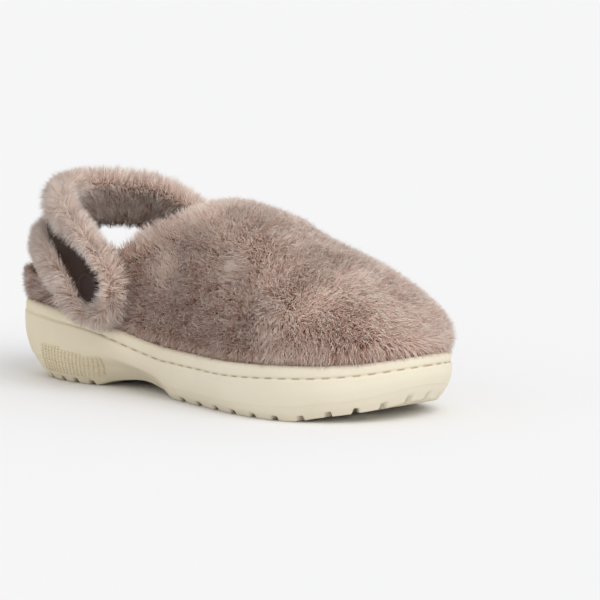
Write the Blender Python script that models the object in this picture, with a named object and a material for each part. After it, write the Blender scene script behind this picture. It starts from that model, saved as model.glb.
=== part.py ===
"""Fur clog for the right foot: foam sole, insole, hollow fur upper, and a heel strap on two rivets.

Metres. +X runs to the toe, -Y to the outer side of the foot, +Z up, and the floor is at z = 0.
"""
import math

import bpy
import numpy as np

# Driving sizes
LENGTH = 0.268           # sole, heel to toe
GAP = 0.0003             # clearance between pieces that meet
GROOVE_DEPTH = 0.0022    # stitched-look groove round the sole
GROOVE_HALF = 0.0012     # half of that groove's height
LIP = 0.0042             # width of the rim outside the upper
LEDGE_DROP = 0.0030      # the upper stands this far below the rim's top
LEDGE_END = 0.0105       # inset where the ledge falls to the footbed
BED_INSET = 0.0115       # inset of the footbed's edge
INSOLE_INSET = 0.0122
INSOLE_THICKNESS = 0.0045
WALL = 0.0054            # upper: backing cloth, lining and the dense foot of the pile
LOCK_HEIGHT = 0.0042     # fur locks above the wall
LOCK_LAY = 0.0050        # how far a lock leans along its lay, at most
LOCK_LEAN = 0.48         # and at most this share of its own foot
LOCK_STEEP = 0.7         # height of a lock, as a share of its own foot, at most
SLEEVE_LOCK = 0.0022     # locks of the strap's sleeve
NOTCH_DEPTH = 0.0030     # gaps between the edge lugs
NOTCH_WIDTH = 0.0040
NOTCH_LENGTH = 0.009
NOTCH_TAPER = 0.55       # width of a gap's inner end against its outer end
NOTCH_OVERRUN = 0.006    # a gap starts this far outside the tread's edge
RIB_COUNT = 6            # ribs on each side of the heel
RIB_START = 0.048        # along the outline from the heel's tip
RIB_PITCH = 0.0064
RIB_SLANT = 0.010        # how far a rib would lean over the sole's whole height
RIB_LOW, RIB_HIGH = 0.30, 0.74
RIB_WIDTH = 0.0030
RIB_RISE = 0.0007
RIB_ROOT = 0.0012        # how deep a rib is rooted in the side
STRAP_HALF = 0.0090      # rubber strap, half width
STRAP_THICKNESS = 0.0030
BAND_HALF = 0.0205       # fur sleeve, half width
RIM_CLEARANCE = 0.0010   # lowest fur over the rim
SLEEVE_REACH = 0.0305    # the upper has no locks this close to a rivet
SLEEVE_LOW = 0.046       # nor behind the rivets above this height
SHANK_RADIUS = 0.0030
SOCKET_DEPTH = 0.0034    # rivet shank inside the upper's wall
BORE_OVERRUN = 0.010     # a rivet's bore runs this far outside the strap's centre

# Facets
HALF_STEPS = 32          # outline steps from heel tip to toe tip, on each side
RIB_ROWS = 12            # rows of the upper from rim to collar
BAND_STEPS = 28          # strap steps between the rivets
END_STEPS = 4            # strap steps of a quarter turn at a rivet end
TURN_STEPS = 16          # rivet facets
RIB_STEPS = 4            # rings of a heel rib


def table(columns, *rows):
    """A table whose columns are read by name."""
    return dict(zip(columns.split(), np.array(rows, float).T))


def rows_of(columns):
    """The rows of a table."""
    return zip(*columns.values())


# Sole outline at its widest: half widths to the outer and the inner side of the foot
OUTLINE = table(
    "x lateral medial",
    (-0.128, 0.0230, 0.0220),
    (-0.115, 0.0358, 0.0340),
    (-0.095, 0.0412, 0.0392),
    (-0.060, 0.0415, 0.0385),
    (-0.020, 0.0415, 0.0370),
    (0.020, 0.0475, 0.0395),
    (0.050, 0.0530, 0.0455),
    (0.075, 0.0535, 0.0505),
    (0.100, 0.0455, 0.0490),
    (0.118, 0.0315, 0.0405),
    (0.129, 0.0140, 0.0275))
HEEL_TIP = (-LENGTH / 2, 0.0)
TOE_TIP = (LENGTH / 2, 0.006)

# Sole heights along the foot, and how far its tread edge and waist lie inside the outline
SOLE = table(
    "x ground tread waist groove rim bed",
    (-0.134, 0.0000, 0.0140, 0.0000, 0.0361, 0.0422, 0.0270),
    (-0.115, 0.0000, 0.0120, 0.0000, 0.0355, 0.0416, 0.0268),
    (-0.095, 0.0000, 0.0110, 0.0000, 0.0342, 0.0403, 0.0260),
    (-0.070, 0.0000, 0.0110, 0.0005, 0.0320, 0.0379, 0.0249),
    (-0.057, 0.0032, 0.0110, 0.0045, 0.0302, 0.0361, 0.0241),
    (-0.039, 0.0050, 0.0105, 0.0075, 0.0261, 0.0322, 0.0224),
    (-0.021, 0.0030, 0.0090, 0.0050, 0.0226, 0.0290, 0.0203),
    (-0.005, 0.0000, 0.0075, 0.0008, 0.0207, 0.0274, 0.0189),
    (0.040, 0.0000, 0.0065, 0.0000, 0.0203, 0.0270, 0.0180),
    (0.085, 0.0000, 0.0065, 0.0000, 0.0224, 0.0288, 0.0180),
    (0.100, 0.0026, 0.0068, 0.0000, 0.0231, 0.0293, 0.0182),
    (0.119, 0.0064, 0.0072, 0.0000, 0.0250, 0.0308, 0.0190),
    (0.134, 0.0140, 0.0066, 0.0000, 0.0280, 0.0335, 0.0200))

# Side of the sole, from the tread up to the groove: share of that height, share of the tread's inset,
# share of the waist's hollow
SIDE = table(
    "level tread waist",
    (0.00, 1.10, 0.80),
    (0.06, 0.92, 0.90),
    (0.20, 0.60, 1.00),
    (0.36, 0.36, 0.90),
    (0.39, 0.27, 0.85),
    (0.54, 0.13, 0.30),
    (0.72, 0.02, 0.05),
    (0.88, 0.00, 0.00))

# Groove and rim of the sole, and edge of the insole: height over each one's own line, and inset
GROOVE = table(
    "rise inset",
    (-GROOVE_HALF, 0.0004),
    (0.0, GROOVE_DEPTH),
    (GROOVE_HALF, 0.0010))
RIM = table(
    "rise inset",
    (-0.0016, 0.0010),
    (-0.0003, 0.0019),
    (0.0, 0.0030),
    (0.0, LIP),
    (-LEDGE_DROP, LIP + GAP),
    (-LEDGE_DROP, LEDGE_END))
INSOLE = table(
    "rise inset",
    (GAP, INSOLE_INSET + 0.0010),
    (GAP + 0.0012, INSOLE_INSET),
    (INSOLE_THICKNESS - 0.0014, INSOLE_INSET),
    (INSOLE_THICKNESS, INSOLE_INSET + 0.0014))

# Stretches of the tread's edge that are cut into lugs, heel and forefoot
PADS = table(
    "back front pitch",
    (-0.140, -0.064, 0.0105),
    (-0.005, 0.140, 0.0150))

# Sections of a gap between lugs and of a heel rib: place across in widths, and height
NOTCH = table(
    "across rise",
    (-0.60, -0.004),
    (0.60, -0.004),
    (0.36, NOTCH_DEPTH),
    (-0.36, NOTCH_DEPTH))
RIB = table(
    "across rise",
    (-0.5, -RIB_ROOT),
    (0.5, -RIB_ROOT),
    (0.3, RIB_RISE),
    (-0.3, RIB_RISE))

# Upper: crest of the arch, squareness of its section and swell over the rim
UPPER = table(
    "x crest fullness swell",
    (-0.130, 0.0900, 4.0, 0.0055),
    (-0.095, 0.0980, 4.5, 0.0028),
    (-0.053, 0.1020, 5.0, 0.0010),
    (-0.020, 0.1020, 3.8, 0.0030),
    (-0.003, 0.1000, 3.2, 0.0040),
    (0.032, 0.0960, 2.9, 0.0045),
    (0.065, 0.0835, 2.6, 0.0045),
    (0.100, 0.0705, 2.4, 0.0056),
    (0.130, 0.0575, 2.2, 0.0056))
HEEL_ROUND = 0.035       # length over which the arch closes at the heel
TOE_ROUND = 0.058        # and at the toe
TOE_BLUNT = 2.4          # power of the closing at the toe, 2 for an ellipse
SWELL_HEIGHT = 0.050     # the swell fades out this far above the rim
SWELL_LOW = 0.7          # below 1 the swell's belly lies lower
COLLAR_ROUND = 0.4       # rounding of the collar's edge, in walls

# Collar edge: its height along the foot, rising past the crest in front of the throat
COLLAR = table(
    "x height",
    (-0.130, 0.0575),
    (-0.100, 0.0545),
    (-0.070, 0.0575),
    (-0.050, 0.0705),
    (-0.033, 0.0812),
    (-0.0205, 0.0890),
    (-0.010, 0.0955),
    (-0.003, 0.1000),
    (0.010, 0.1400))
MOUTH_BACK = -0.095      # the ribs of the upper lead to the line between these two
MOUTH_FRONT = -0.035

# Heel strap: centre of the rubber from a rivet, round one side, to the back, and how far its fur sleeve
# hangs lower than the rubber
STRAP = table(
    "x y z hang",
    (-0.0530, 0.0460, 0.0555, 0.0030),
    (-0.0667, 0.0456, 0.0690, 0.0026),
    (-0.0806, 0.0430, 0.0775, 0.0018),
    (-0.0968, 0.0338, 0.0830, 0.0012),
    (-0.1105, 0.0186, 0.0845, 0.0010),
    (-0.1170, 0.0000, 0.0845, 0.0010))

# Along the strap, as a share of its length from the outer rivet to the inner one: lean inwards in degrees,
# rise over the line above, and widths of the rubber and of the sleeve's upper and lower roll as shares of
# the full ones
BAND = table(
    "share lean rise rubber upper lower",
    (0.00, 0, 0.0000, 1.00, 1.00, 1.00),
    (0.10, 4, 0.0000, 0.88, 1.05, 1.08),
    (0.18, 9, 0.0004, 0.70, 1.16, 1.22),
    (0.29, 15, 0.0012, 0.54, 1.30, 1.36),
    (0.40, 18, 0.0026, 0.50, 1.33, 1.17),
    (0.50, 20, 0.0042, 0.52, 1.23, 0.78),
    (0.60, 22, 0.0060, 0.60, 1.00, 0.40),
    (0.70, 22, 0.0060, 0.66, 0.90, 0.35),
    (0.80, 14, 0.0036, 0.78, 0.90, 0.50),
    (0.90, 4, 0.0006, 0.92, 0.98, 0.86),
    (1.00, 0, 0.0000, 1.00, 1.00, 1.00))

# Section of the fur sleeve: inset from its edge and height over the strap's centre, rolls outside
SLEEVE_OUT = table(
    "inset height",
    (0.0000, -0.0010),
    (0.0014, 0.0032),
    (0.0048, 0.0056),
    (0.0084, 0.0046),
    (0.0106, 0.0012),
    (0.0112, -0.0018))
COLLAR_MARGIN = 0.004    # the sleeve lies on the upper up to this far over the collar
SLEEVE_FREE = -0.100     # behind this x the sleeve hangs clear of the upper
SLEEVE_IN = table(
    "inset height",
    (0.0014, -0.0052),
    (0.0052, -0.0076),
    (0.0120, -0.0080))

# Edge of the rubber strap: inset and height over its centre
STRAP_EDGE = table(
    "inset height",
    (0.0010, -STRAP_THICKNESS / 2),
    (0.0, -STRAP_THICKNESS / 5),
    (0.0, STRAP_THICKNESS / 5),
    (0.0010, STRAP_THICKNESS / 2))

# Rivet, turned: radius and height over the strap's centre
RIVET = table(
    "radius height",
    (0.0070, 0.0018),
    (0.0073, 0.0026),
    (0.0069, 0.0041),
    (0.0061, 0.0046),
    (0.0054, 0.0043),
    (0.0050, 0.0037))

COLOURS = {
    "foam": ((0.80, 0.74, 0.60), 0.55),
    "fur": ((0.31, 0.22, 0.19), 0.95),
    "fleece": ((0.38, 0.29, 0.25), 0.95),
    "rubber": ((0.032, 0.020, 0.016), 0.45)}


def hermite(t, start, end, leave, reach):
    """Cubic from start to end with the given slopes over a unit step."""
    turn = t * t * (3 - 2 * t)
    return start + (end - start) * turn + leave * t * (1 - t) ** 2 - reach * t * t * (1 - t)


def smooth(knots, values, at):
    """Values between the knots on a cubic that doesn't overshoot; constant beyond the ends."""
    step = np.diff(knots)
    rise = np.diff(values) / step
    slope = np.zeros(len(values))
    product = rise[:-1] * rise[1:]
    total = np.where(product > 0, rise[:-1] + rise[1:], 1.0)
    slope[1:-1] = np.where(product > 0, 2 * product / total, 0.0)
    slope[0], slope[-1] = rise[0], rise[-1]
    at = np.clip(at, knots[0], knots[-1])
    k = np.clip(np.searchsorted(knots, at) - 1, 0, len(step) - 1)
    t = (at - knots[k]) / step[k]
    return hermite(t, values[k], values[k + 1], step[k] * slope[k], step[k] * slope[k + 1])


def sole_value(column, x):
    return smooth(SOLE["x"], SOLE[column], x)


def upper_value(column, x):
    return smooth(UPPER["x"], UPPER[column], x)


def curve(points, closed, steps=40):
    """A smooth dense line through the points."""
    p = np.asarray(points, float)
    after = np.roll(p, -1, 0)
    span = np.linalg.norm(after - p, axis=1)[:, None]
    rise = (after - p) / span
    back_span, back_rise = np.roll(span, 1, 0), np.roll(rise, 1, 0)
    tangent = (rise * back_span + back_rise * span) / (span + back_span)
    if not closed:
        tangent[0], tangent[-1] = rise[0], rise[-2]
    t = np.linspace(0, 1, steps, endpoint=False)[:, None]
    line = []
    for k in range(len(p) if closed else len(p) - 1):
        j = (k + 1) % len(p)
        line.append(hermite(t, p[k], p[j], span[k] * tangent[k], span[k] * tangent[j]))
    line.append(p[:1] if closed else p[-1:])
    return np.concatenate(line)


def length_along(line):
    """Distance along a line at each of its points."""
    return np.r_[0, np.cumsum(np.linalg.norm(np.diff(line, axis=0), axis=1))]


def spaced(line, count):
    """count + 1 points evenly along a line."""
    length = length_along(line)
    at = np.linspace(0, length[-1], count + 1)
    return np.stack([np.interp(at, length, axis) for axis in line.T], 1)


def outline_sides():
    """Dense outer and inner side of the sole's outline, each from heel tip to toe tip."""
    outer = np.c_[OUTLINE["x"], -OUTLINE["lateral"]]
    inner = np.c_[OUTLINE["x"], OUTLINE["medial"]]
    steps = 40
    line = curve(np.r_[[HEEL_TIP], outer, [TOE_TIP], inner[::-1]], True, steps)
    turn = (len(outer) + 1) * steps
    return line[:turn + 1], line[turn:][::-1]


def normals_of(loop):
    """Outward normals of a closed line that runs heel, outer side, toe, inner side."""
    run = np.roll(loop, -1, 0) - np.roll(loop, 1, 0)
    normal = np.c_[run[:, 1], -run[:, 0]]
    return normal / np.linalg.norm(normal, axis=1)[:, None]


OUTER_SIDE, INNER_SIDE = outline_sides()
LOOP = np.r_[spaced(OUTER_SIDE, HALF_STEPS), spaced(INNER_SIDE, HALF_STEPS)[-2:0:-1]]
LOOP_NORMAL = normals_of(LOOP)


def ring(inset, height):
    """The outline drawn in by an inset, at heights given as a function of x."""
    plan = LOOP - LOOP_NORMAL * np.broadcast_to(inset, len(LOOP))[:, None]
    return np.c_[plan, height(plan[:, 0])]


class Shell:
    """Points and faces of one closed body, collected ring by ring.

    A ring starts at one tip, runs along one side to the far tip and back along the other.
    """

    def __init__(self):
        self.points = []
        self.faces = []

    def add(self, points):
        first = len(self.points)
        self.points.extend(tuple(float(v) for v in p) for p in points)
        return list(range(first, len(self.points)))

    def bridge(self, lower, upper):
        for k in range(len(lower)):
            j = (k + 1) % len(lower)
            self.faces.append((lower[k], lower[j], upper[j], upper[k]))

    def stack(self, rings):
        """Bridge rings from the lowest to the highest; returns the first and the last."""
        added = [self.add(r) for r in rings]
        for lower, upper in zip(added, added[1:]):
            self.bridge(lower, upper)
        return added[0], added[-1]

    def cap(self, loop, up, columns=1, height=None):
        """Close a ring with rows from one side to the other."""
        half = len(loop) // 2
        rows = []
        for k in range(1, half):
            a, b = loop[k], loop[-k]
            start, end = np.array(self.points[a]), np.array(self.points[b])
            inner = [start + (end - start) * c / columns for c in range(1, columns)]
            if height is not None:
                inner = [(p[0], p[1], float(height(p[0]))) for p in inner]
            rows.append([a] + self.add(inner) + [b])
        faces = []
        for c in range(columns):
            faces.append((loop[0], rows[0][c], rows[0][c + 1]))
            faces.append((rows[-1][c], loop[half], rows[-1][c + 1]))
            for low, high in zip(rows, rows[1:]):
                faces.append((low[c], high[c], high[c + 1]))
                faces.append((low[c], high[c + 1], low[c + 1]))
        self.faces.extend(faces if up else [f[::-1] for f in faces])

    def poke(self, face, tip):
        """Raise one face into a lock with its point at tip."""
        top = self.add([tip])[0]
        for k in range(len(face)):
            self.faces.append((face[k], face[(k + 1) % len(face)], top))

    def make(self, name, material):
        mesh = bpy.data.meshes.new(name)
        mesh.from_pydata(self.points, [], self.faces)
        mesh.validate()
        mesh.shade_smooth()
        mesh.set_sharp_from_angle(angle=math.radians(40))
        piece = bpy.data.objects.new(name, mesh)
        piece.data.materials.append(material)
        bpy.context.scene.collection.objects.link(piece)
        return piece


def finish(name):
    """A Principled material in the colour and roughness of COLOURS."""
    colour, roughness = COLOURS[name]
    material = bpy.data.materials.new(name)
    material.use_nodes = True
    shader = material.node_tree.nodes["Principled BSDF"]
    shader.inputs["Base Color"].default_value = (*colour, 1.0)
    shader.inputs["Roughness"].default_value = roughness
    return material


def cut(piece, cutter, operation="DIFFERENCE"):
    """Take a cutter's volume out of a piece, or add it."""
    cutter.hide_render = True
    cutter.display_type = "WIRE"
    modifier = piece.modifiers.new(cutter.name, "BOOLEAN")
    modifier.operation = operation
    modifier.object = cutter


def sole_rings():
    """Rings of the sole from the tread, up its side, over the rim and down to the footbed."""
    x = LOOP[:, 0]
    tread, waist = sole_value("tread", x), sole_value("waist", x)
    rings = []
    for level, tread_share, waist_share in rows_of(SIDE):
        def height(at, share=level):
            foot = sole_value("ground", at)
            return foot + share * (sole_value("groove", at) - GROOVE_HALF - foot)
        rings.append(ring(tread * tread_share + waist * waist_share, height))
    for rise, inset in rows_of(GROOVE):
        rings.append(ring(inset, lambda at, rise=rise: sole_value("groove", at) + rise))
    for rise, inset in rows_of(RIM):
        rings.append(ring(inset, lambda at, rise=rise: sole_value("rim", at) + rise))
    rings.append(ring(BED_INSET, lambda at: sole_value("bed", at)))
    return rings


def turn_of(side):
    """1 for the outer side of the foot, whose outline runs heel to toe with the sole on its left, else -1."""
    return 1.0 if side is OUTER_SIDE else -1.0


def edge_place(side, at):
    """Point at a distance along one side of the outline, with its directions along and into the sole."""
    length = length_along(side)
    spot, ahead = (np.array([np.interp(at + step, length, axis) for axis in side.T]) for step in (0.0, 0.001))
    along = (ahead - spot) / np.linalg.norm(ahead - spot)
    return spot, along, np.array((-along[1], along[0])) * turn_of(side)


def notch(shell, side, at):
    """One tapered bar across the tread's edge, following the ground."""
    spot, along, inward = edge_place(side, at)
    edge = spot + inward * sole_value("tread", spot[0])
    ends = []
    for reach, width in ((-NOTCH_OVERRUN, NOTCH_WIDTH), (NOTCH_LENGTH, NOTCH_WIDTH * NOTCH_TAPER)):
        plan = [edge + inward * reach - along * turn_of(side) * across * width for across in NOTCH["across"]]
        ends.append([(x, y, sole_value("ground", x) + rise) for (x, y), rise in zip(plan, NOTCH["rise"])])
    front, back = shell.stack(ends)
    shell.faces.append(tuple(front[::-1]))
    shell.faces.append(tuple(back))


def lug_cutter():
    """The gaps between the lugs, evenly along the edge of the heel and of the forefoot."""
    shell = Shell()
    for side in (OUTER_SIDE, INNER_SIDE):
        for back, front, pitch in rows_of(PADS):
            inside = (side[:, 0] >= back) & (side[:, 0] <= front)
            start, end = length_along(side)[inside][[0, -1]]
            count = int((end - start) / pitch)
            for k in range(count):
                notch(shell, side, start + (k + 0.5) * (end - start) / count)
    return shell


def side_point(side, at, level, out):
    """Point of the sole's side: distance along the outline, share of the height, distance outside it."""
    spot, _, inward = edge_place(side, at)
    x = spot[0]
    inset = (sole_value("tread", x) * np.interp(level, SIDE["level"], SIDE["tread"])
             + sole_value("waist", x) * np.interp(level, SIDE["level"], SIDE["waist"]))
    plan = spot + inward * (inset - out)
    ground = sole_value("ground", plan[0])
    return plan[0], plan[1], ground + level * (sole_value("groove", plan[0]) - GROOVE_HALF - ground)


def heel_ribs():
    """Leaning ribs that stand out on both sides of the heel."""
    shell = Shell()
    for side in (OUTER_SIDE, INNER_SIDE):
        width = turn_of(side) * RIB_WIDTH
        for k in range(RIB_COUNT):
            rings = []
            for level in np.linspace(RIB_LOW, RIB_HIGH, RIB_STEPS):
                at = RIB_START + k * RIB_PITCH + RIB_SLANT * level
                rings.append([side_point(side, at - across * width, level, rise)
                              for across, rise in rows_of(RIB)])
            first, last = shell.stack(rings)
            shell.faces.append(tuple(first[::-1]))
            shell.faces.append(tuple(last))
    return shell


def make_sole(material):
    shell = Shell()
    bottom, top = shell.stack(sole_rings())
    shell.cap(bottom, False, 4, lambda at: sole_value("ground", at))
    shell.cap(top, True, 3, lambda at: sole_value("bed", at))
    piece = shell.make("sole", material)
    cut(piece, lug_cutter().make("lug_gaps", material))
    cut(piece, heel_ribs().make("heel_ribs", material), "UNION")
    return piece


def make_insole(material):
    shell = Shell()
    bottom, top = shell.stack([ring(inset, lambda at, rise=rise: sole_value("bed", at) + rise)
                               for rise, inset in rows_of(INSOLE)])
    shell.cap(bottom, False, 3, lambda at: sole_value("bed", at) + GAP)
    shell.cap(top, True, 3, lambda at: sole_value("bed", at) + INSOLE_THICKNESS)
    return shell.make("insole", material)


# Plan of the upper where it leaves the rim: the outline inside the lip
FOOT_INSET = LIP + 2 * GAP
FOOT_LOOP = LOOP - LOOP_NORMAL * FOOT_INSET
FOOT_HALF = HALF_STEPS + 1


def side_at(x):
    """Outer and inner edge of the upper's plan at x."""
    outer = FOOT_LOOP[:FOOT_HALF]
    inner = np.r_[FOOT_LOOP[:1], FOOT_LOOP[:HALF_STEPS - 1:-1]]
    return np.interp(x, outer[:, 0], outer[:, 1]), np.interp(x, inner[:, 0], inner[:, 1])


def arch_height(x):
    """Height of the crest over the rim, closing roundly at heel and toe."""
    heel, toe = FOOT_LOOP[0, 0], FOOT_LOOP[HALF_STEPS, 0]
    back = np.clip((heel + HEEL_ROUND - x) / HEEL_ROUND, 0, 1)
    front = np.clip((x - toe + TOE_ROUND) / TOE_ROUND, 0, 1)
    closing = np.sqrt(1 - back ** 2) * np.sqrt(1 - front ** TOE_BLUNT)
    return (upper_value("crest", x) - sole_value("rim", x)) * closing


def dome(x, y):
    """Height of the upper's outside over a point of its plan."""
    low, high = side_at(x)
    half = np.maximum((high - low) / 2, 1e-6)
    share = np.clip(abs(y - (low + high) / 2) / half, 0, 1)
    return sole_value("rim", x) + arch_height(x) * np.sqrt(1 - share ** upper_value("fullness", x))


def swell(x, z):
    """How far the upper stands out over its plan at a height."""
    rise = np.clip((z - sole_value("rim", x)) / SWELL_HEIGHT, 0, 1)
    return upper_value("swell", x) * np.sin(math.pi * rise ** SWELL_LOW)


def wall_at(x, z):
    """Distance of the upper's outside from the foot's line, on the outer side, at a height."""
    low, high = side_at(x)
    rise = np.clip((z - sole_value("rim", x)) / arch_height(x), 0, 0.999)
    share = (1 - rise ** 2) ** (1 / upper_value("fullness", x))
    return (high - low) / 2 * share + swell(x, z)


def collar_height(x):
    return smooth(COLLAR["x"], COLLAR["height"], x)


def rib(start, outward):
    """Points up the outside of the upper, from the rim to the collar."""
    goal = np.array((np.clip(start[0], MOUTH_BACK, MOUTH_FRONT), 0.0))
    low, high = 0.0, 1.0
    for _ in range(40):
        middle = (low + high) / 2
        spot = start + (goal - start) * middle
        if dome(*spot) > collar_height(spot[0]):
            high = middle
        else:
            low = middle
    line = []
    for share in np.linspace(0, 1, 80) ** 3:
        spot = start + (goal - start) * high * share
        z = dome(*spot)
        plan = spot + outward * swell(spot[0], z)
        line.append((plan[0], plan[1], z))
    return spaced(np.array(line), RIB_ROWS)


def grid_normals(grid):
    """Outward normals of a grid of ribs by rows."""
    around = np.roll(grid, -1, 0) - np.roll(grid, 1, 0)
    up = np.gradient(grid, axis=1)
    normal = np.cross(around, up)
    return normal / np.linalg.norm(normal, axis=2)[:, :, None]


def make_upper(material):
    """The hollow upper: outside ribs, the same ribs set in by the wall, a rounded collar and locks."""
    outside = np.array([rib(p, n) for p, n in zip(FOOT_LOOP, LOOP_NORMAL)])
    normal = grid_normals(outside)
    inside = outside - normal * WALL
    foot = ring(FOOT_INSET, lambda at: sole_value("rim", at) - LEDGE_DROP + GAP)
    inner_foot = ring(LEDGE_END - GAP, lambda at: sole_value("rim", at) - LEDGE_DROP + GAP)
    edge = outside[:, -1] - outside[:, -2]
    edge = edge / np.linalg.norm(edge, axis=1)[:, None]
    lip = (outside[:, -1] + inside[:, -1]) / 2 + edge * WALL * COLLAR_ROUND
    shell = Shell()
    foot_ids = shell.add(foot)
    outer_ids = [shell.add(outside[:, k]) for k in range(RIB_ROWS + 1)]
    lip_ids = shell.add(lip)
    inner_ids = [shell.add(inside[:, k]) for k in range(RIB_ROWS, 1, -2)]
    inner_foot_ids = shell.add(inner_foot)
    shell.bridge(foot_ids, outer_ids[0])
    chance = np.random.default_rng(5)
    for row, (lower, upper) in enumerate(zip(outer_ids, outer_ids[1:])):
        for k in range(len(lower)):
            j = (k + 1) % len(lower)
            face = (lower[k], lower[j], upper[j], upper[k])
            corners = outside[[k, j, j, k], [row, row, row + 1, row + 1]]
            middle = corners.mean(0)
            down = (corners[0] + corners[1] - corners[2] - corners[3]) / 2
            size = np.linalg.norm(down)
            height = min(LOCK_HEIGHT, size * LOCK_STEEP) * chance.uniform(0.7, 1.1)
            lay = min(LOCK_LAY, size * LOCK_LEAN) * chance.uniform(0.6, 1.0)
            if under_strap(middle):
                shell.faces.append(face)
                continue
            tip = middle + normal[k, row] * height + down / size * lay
            tip[2] = max(tip[2], min(middle[2], sole_value("rim", tip[0]) + RIM_CLEARANCE))
            shell.poke(face, tip)
    shell.bridge(outer_ids[-1], lip_ids)
    shell.bridge(lip_ids, inner_ids[0])
    for upper, lower in zip(inner_ids, inner_ids[1:]):
        shell.bridge(upper, lower)
    shell.bridge(inner_ids[-1], inner_foot_ids)
    shell.bridge(inner_foot_ids, foot_ids)
    return shell.make("upper", material)


def strap_frame():
    """Centre line of the strap with its outward and upward directions, and its length."""
    half = np.c_[STRAP["x"], -STRAP["y"], STRAP["z"]]
    line = spaced(curve(np.r_[half, half[-2::-1] * (1, -1, 1)], False), 200)
    share = np.linspace(0, 1, len(line))
    line[:, 2] += smooth(BAND["share"], BAND["rise"], share)
    lean = np.radians(smooth(BAND["share"], BAND["lean"], share))[:, None]
    tangent = np.gradient(line, axis=0)
    tangent = tangent / np.linalg.norm(tangent, axis=1)[:, None]
    out = np.c_[-tangent[:, 1], tangent[:, 0], np.zeros(len(line))]
    out = out / np.linalg.norm(out, axis=1)[:, None]
    level = np.cross(tangent, out)
    across = level * np.cos(lean) - out * np.sin(lean)
    out = out * np.cos(lean) + level * np.sin(lean)
    return length_along(line), line, tangent, out, across


STATION, CENTRE, TANGENT, OUTWARD, ACROSS = strap_frame()
HANG = smooth(-STRAP["x"], STRAP["hang"], -CENTRE[:, 0])
WIDTHS = [smooth(BAND["share"], BAND[part], STATION / STATION[-1]) for part in ("rubber", "upper", "lower")]


def on_strap(s, w, h):
    """Point at s along the strap, w across it and h outwards; straight beyond its ends."""
    inside = np.clip(s, 0, STATION[-1])

    def at(rows):
        return np.stack([np.interp(inside, STATION, axis) for axis in rows.T], 1)
    beyond, w, h = ((s - inside)[:, None], w[:, None], h[:, None])
    return at(CENTRE) + at(TANGENT) * beyond + at(ACROSS) * w + at(OUTWARD) * h


def band_ring(half, height, hang=0.0):
    """Ring round the strap at a half width, with round ends about the rivets.

    hang is the share of the sleeve's sag that this ring takes.
    """
    turn = np.linspace(0, math.pi / 2, END_STEPS + 1)
    along = np.linspace(0, STATION[-1], BAND_STEPS + 1)
    s = np.r_[-half * np.cos(turn[:-1]), along, STATION[-1] + half * np.sin(turn[1:])]
    w = np.r_[half * np.sin(turn[:-1]), np.full(len(along), half), half * np.cos(turn[1:])]
    s, w = np.r_[s, s[-2:0:-1]], np.r_[w, -w[-2:0:-1]]
    on_rubber = np.clip(w, -STRAP_HALF, STRAP_HALF)
    to_roll = np.clip(w, -STRAP_HALF - GAP, STRAP_HALF + GAP)
    rubber, upper, lower = (np.interp(s, STATION, width) for width in WIDTHS)
    w = on_rubber * rubber + to_roll - on_rubber + (w - to_roll) * np.where(w > 0, upper, lower)
    w = w - hang * np.interp(s, STATION, HANG)
    return on_strap(s, w, np.full(len(s), height))


def under_strap(point):
    """Whether the strap's sleeve covers a point of the upper."""
    x, _, z = point
    rivet_x, rivet_z = STRAP["x"][0], STRAP["z"][0]
    near = math.hypot(x - rivet_x, z - rivet_z) < SLEEVE_REACH
    return near or (x < rivet_x and z > SLEEVE_LOW)


def rest_on_upper(points):
    """Lay points of the sleeve's inner side on the upper's wall where it stands behind them."""
    laid = points.copy()
    for k, (x, y, z) in enumerate(points):
        if z > collar_height(x) + COLLAR_MARGIN or x < SLEEVE_FREE:
            continue
        laid[k, 1] = sum(side_at(x)) / 2 + math.copysign(wall_at(x, z) + 2 * GAP, y)
    return laid


def sleeve_rings(section):
    """Rings of the sleeve; its edge hangs lower than the rubber, down to the rim, its channel doesn't."""
    channel = BAND_HALF - STRAP_HALF - GAP
    rings = []
    for inset, height in rows_of(section):
        points = band_ring(BAND_HALF - inset, height, max(0.0, 1 - inset / channel))
        points[:, 2] = np.maximum(points[:, 2], sole_value("rim", points[:, 0]) + RIM_CLEARANCE + inset / 4)
        rings.append(points)
    return rings


def make_strap_fur(material):
    shell = Shell()
    outer = sleeve_rings(SLEEVE_OUT)
    inner = [rest_on_upper(r) for r in sleeve_rings(SLEEVE_IN)]
    outer_ids = [shell.add(r) for r in outer]
    inner_ids = [shell.add(r) for r in inner]
    chance = np.random.default_rng(8)
    rolls = len(outer) - 3
    for row, (lower, upper) in enumerate(zip(outer_ids, outer_ids[1:])):
        for k in range(len(lower)):
            j = (k + 1) % len(lower)
            face = (lower[k], lower[j], upper[j], upper[k])
            if row >= rolls:
                shell.faces.append(face)
                continue
            corners = np.array([shell.points[c] for c in face])
            normal = np.cross(corners[1] - corners[0], corners[3] - corners[0])
            tip = corners.mean(0) + normal / np.linalg.norm(normal) * SLEEVE_LOCK * chance.uniform(0.6, 1.2)
            tip[2] = max(tip[2], sole_value("rim", tip[0]) + RIM_CLEARANCE)
            shell.poke(face, tip)
    shell.cap(outer_ids[-1], True)
    shell.bridge(inner_ids[0], outer_ids[0])
    for lower, upper in zip(inner_ids, inner_ids[1:]):
        shell.bridge(upper, lower)
    shell.cap(inner_ids[-1], False)
    return shell.make("strap_fur", material)


def make_heel_strap(material):
    shell = Shell()
    bottom, top = shell.stack([band_ring(STRAP_HALF - inset, h) for inset, h in rows_of(STRAP_EDGE)])
    shell.cap(bottom, False)
    shell.cap(top, True)
    return shell.make("heel_strap", material)


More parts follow.
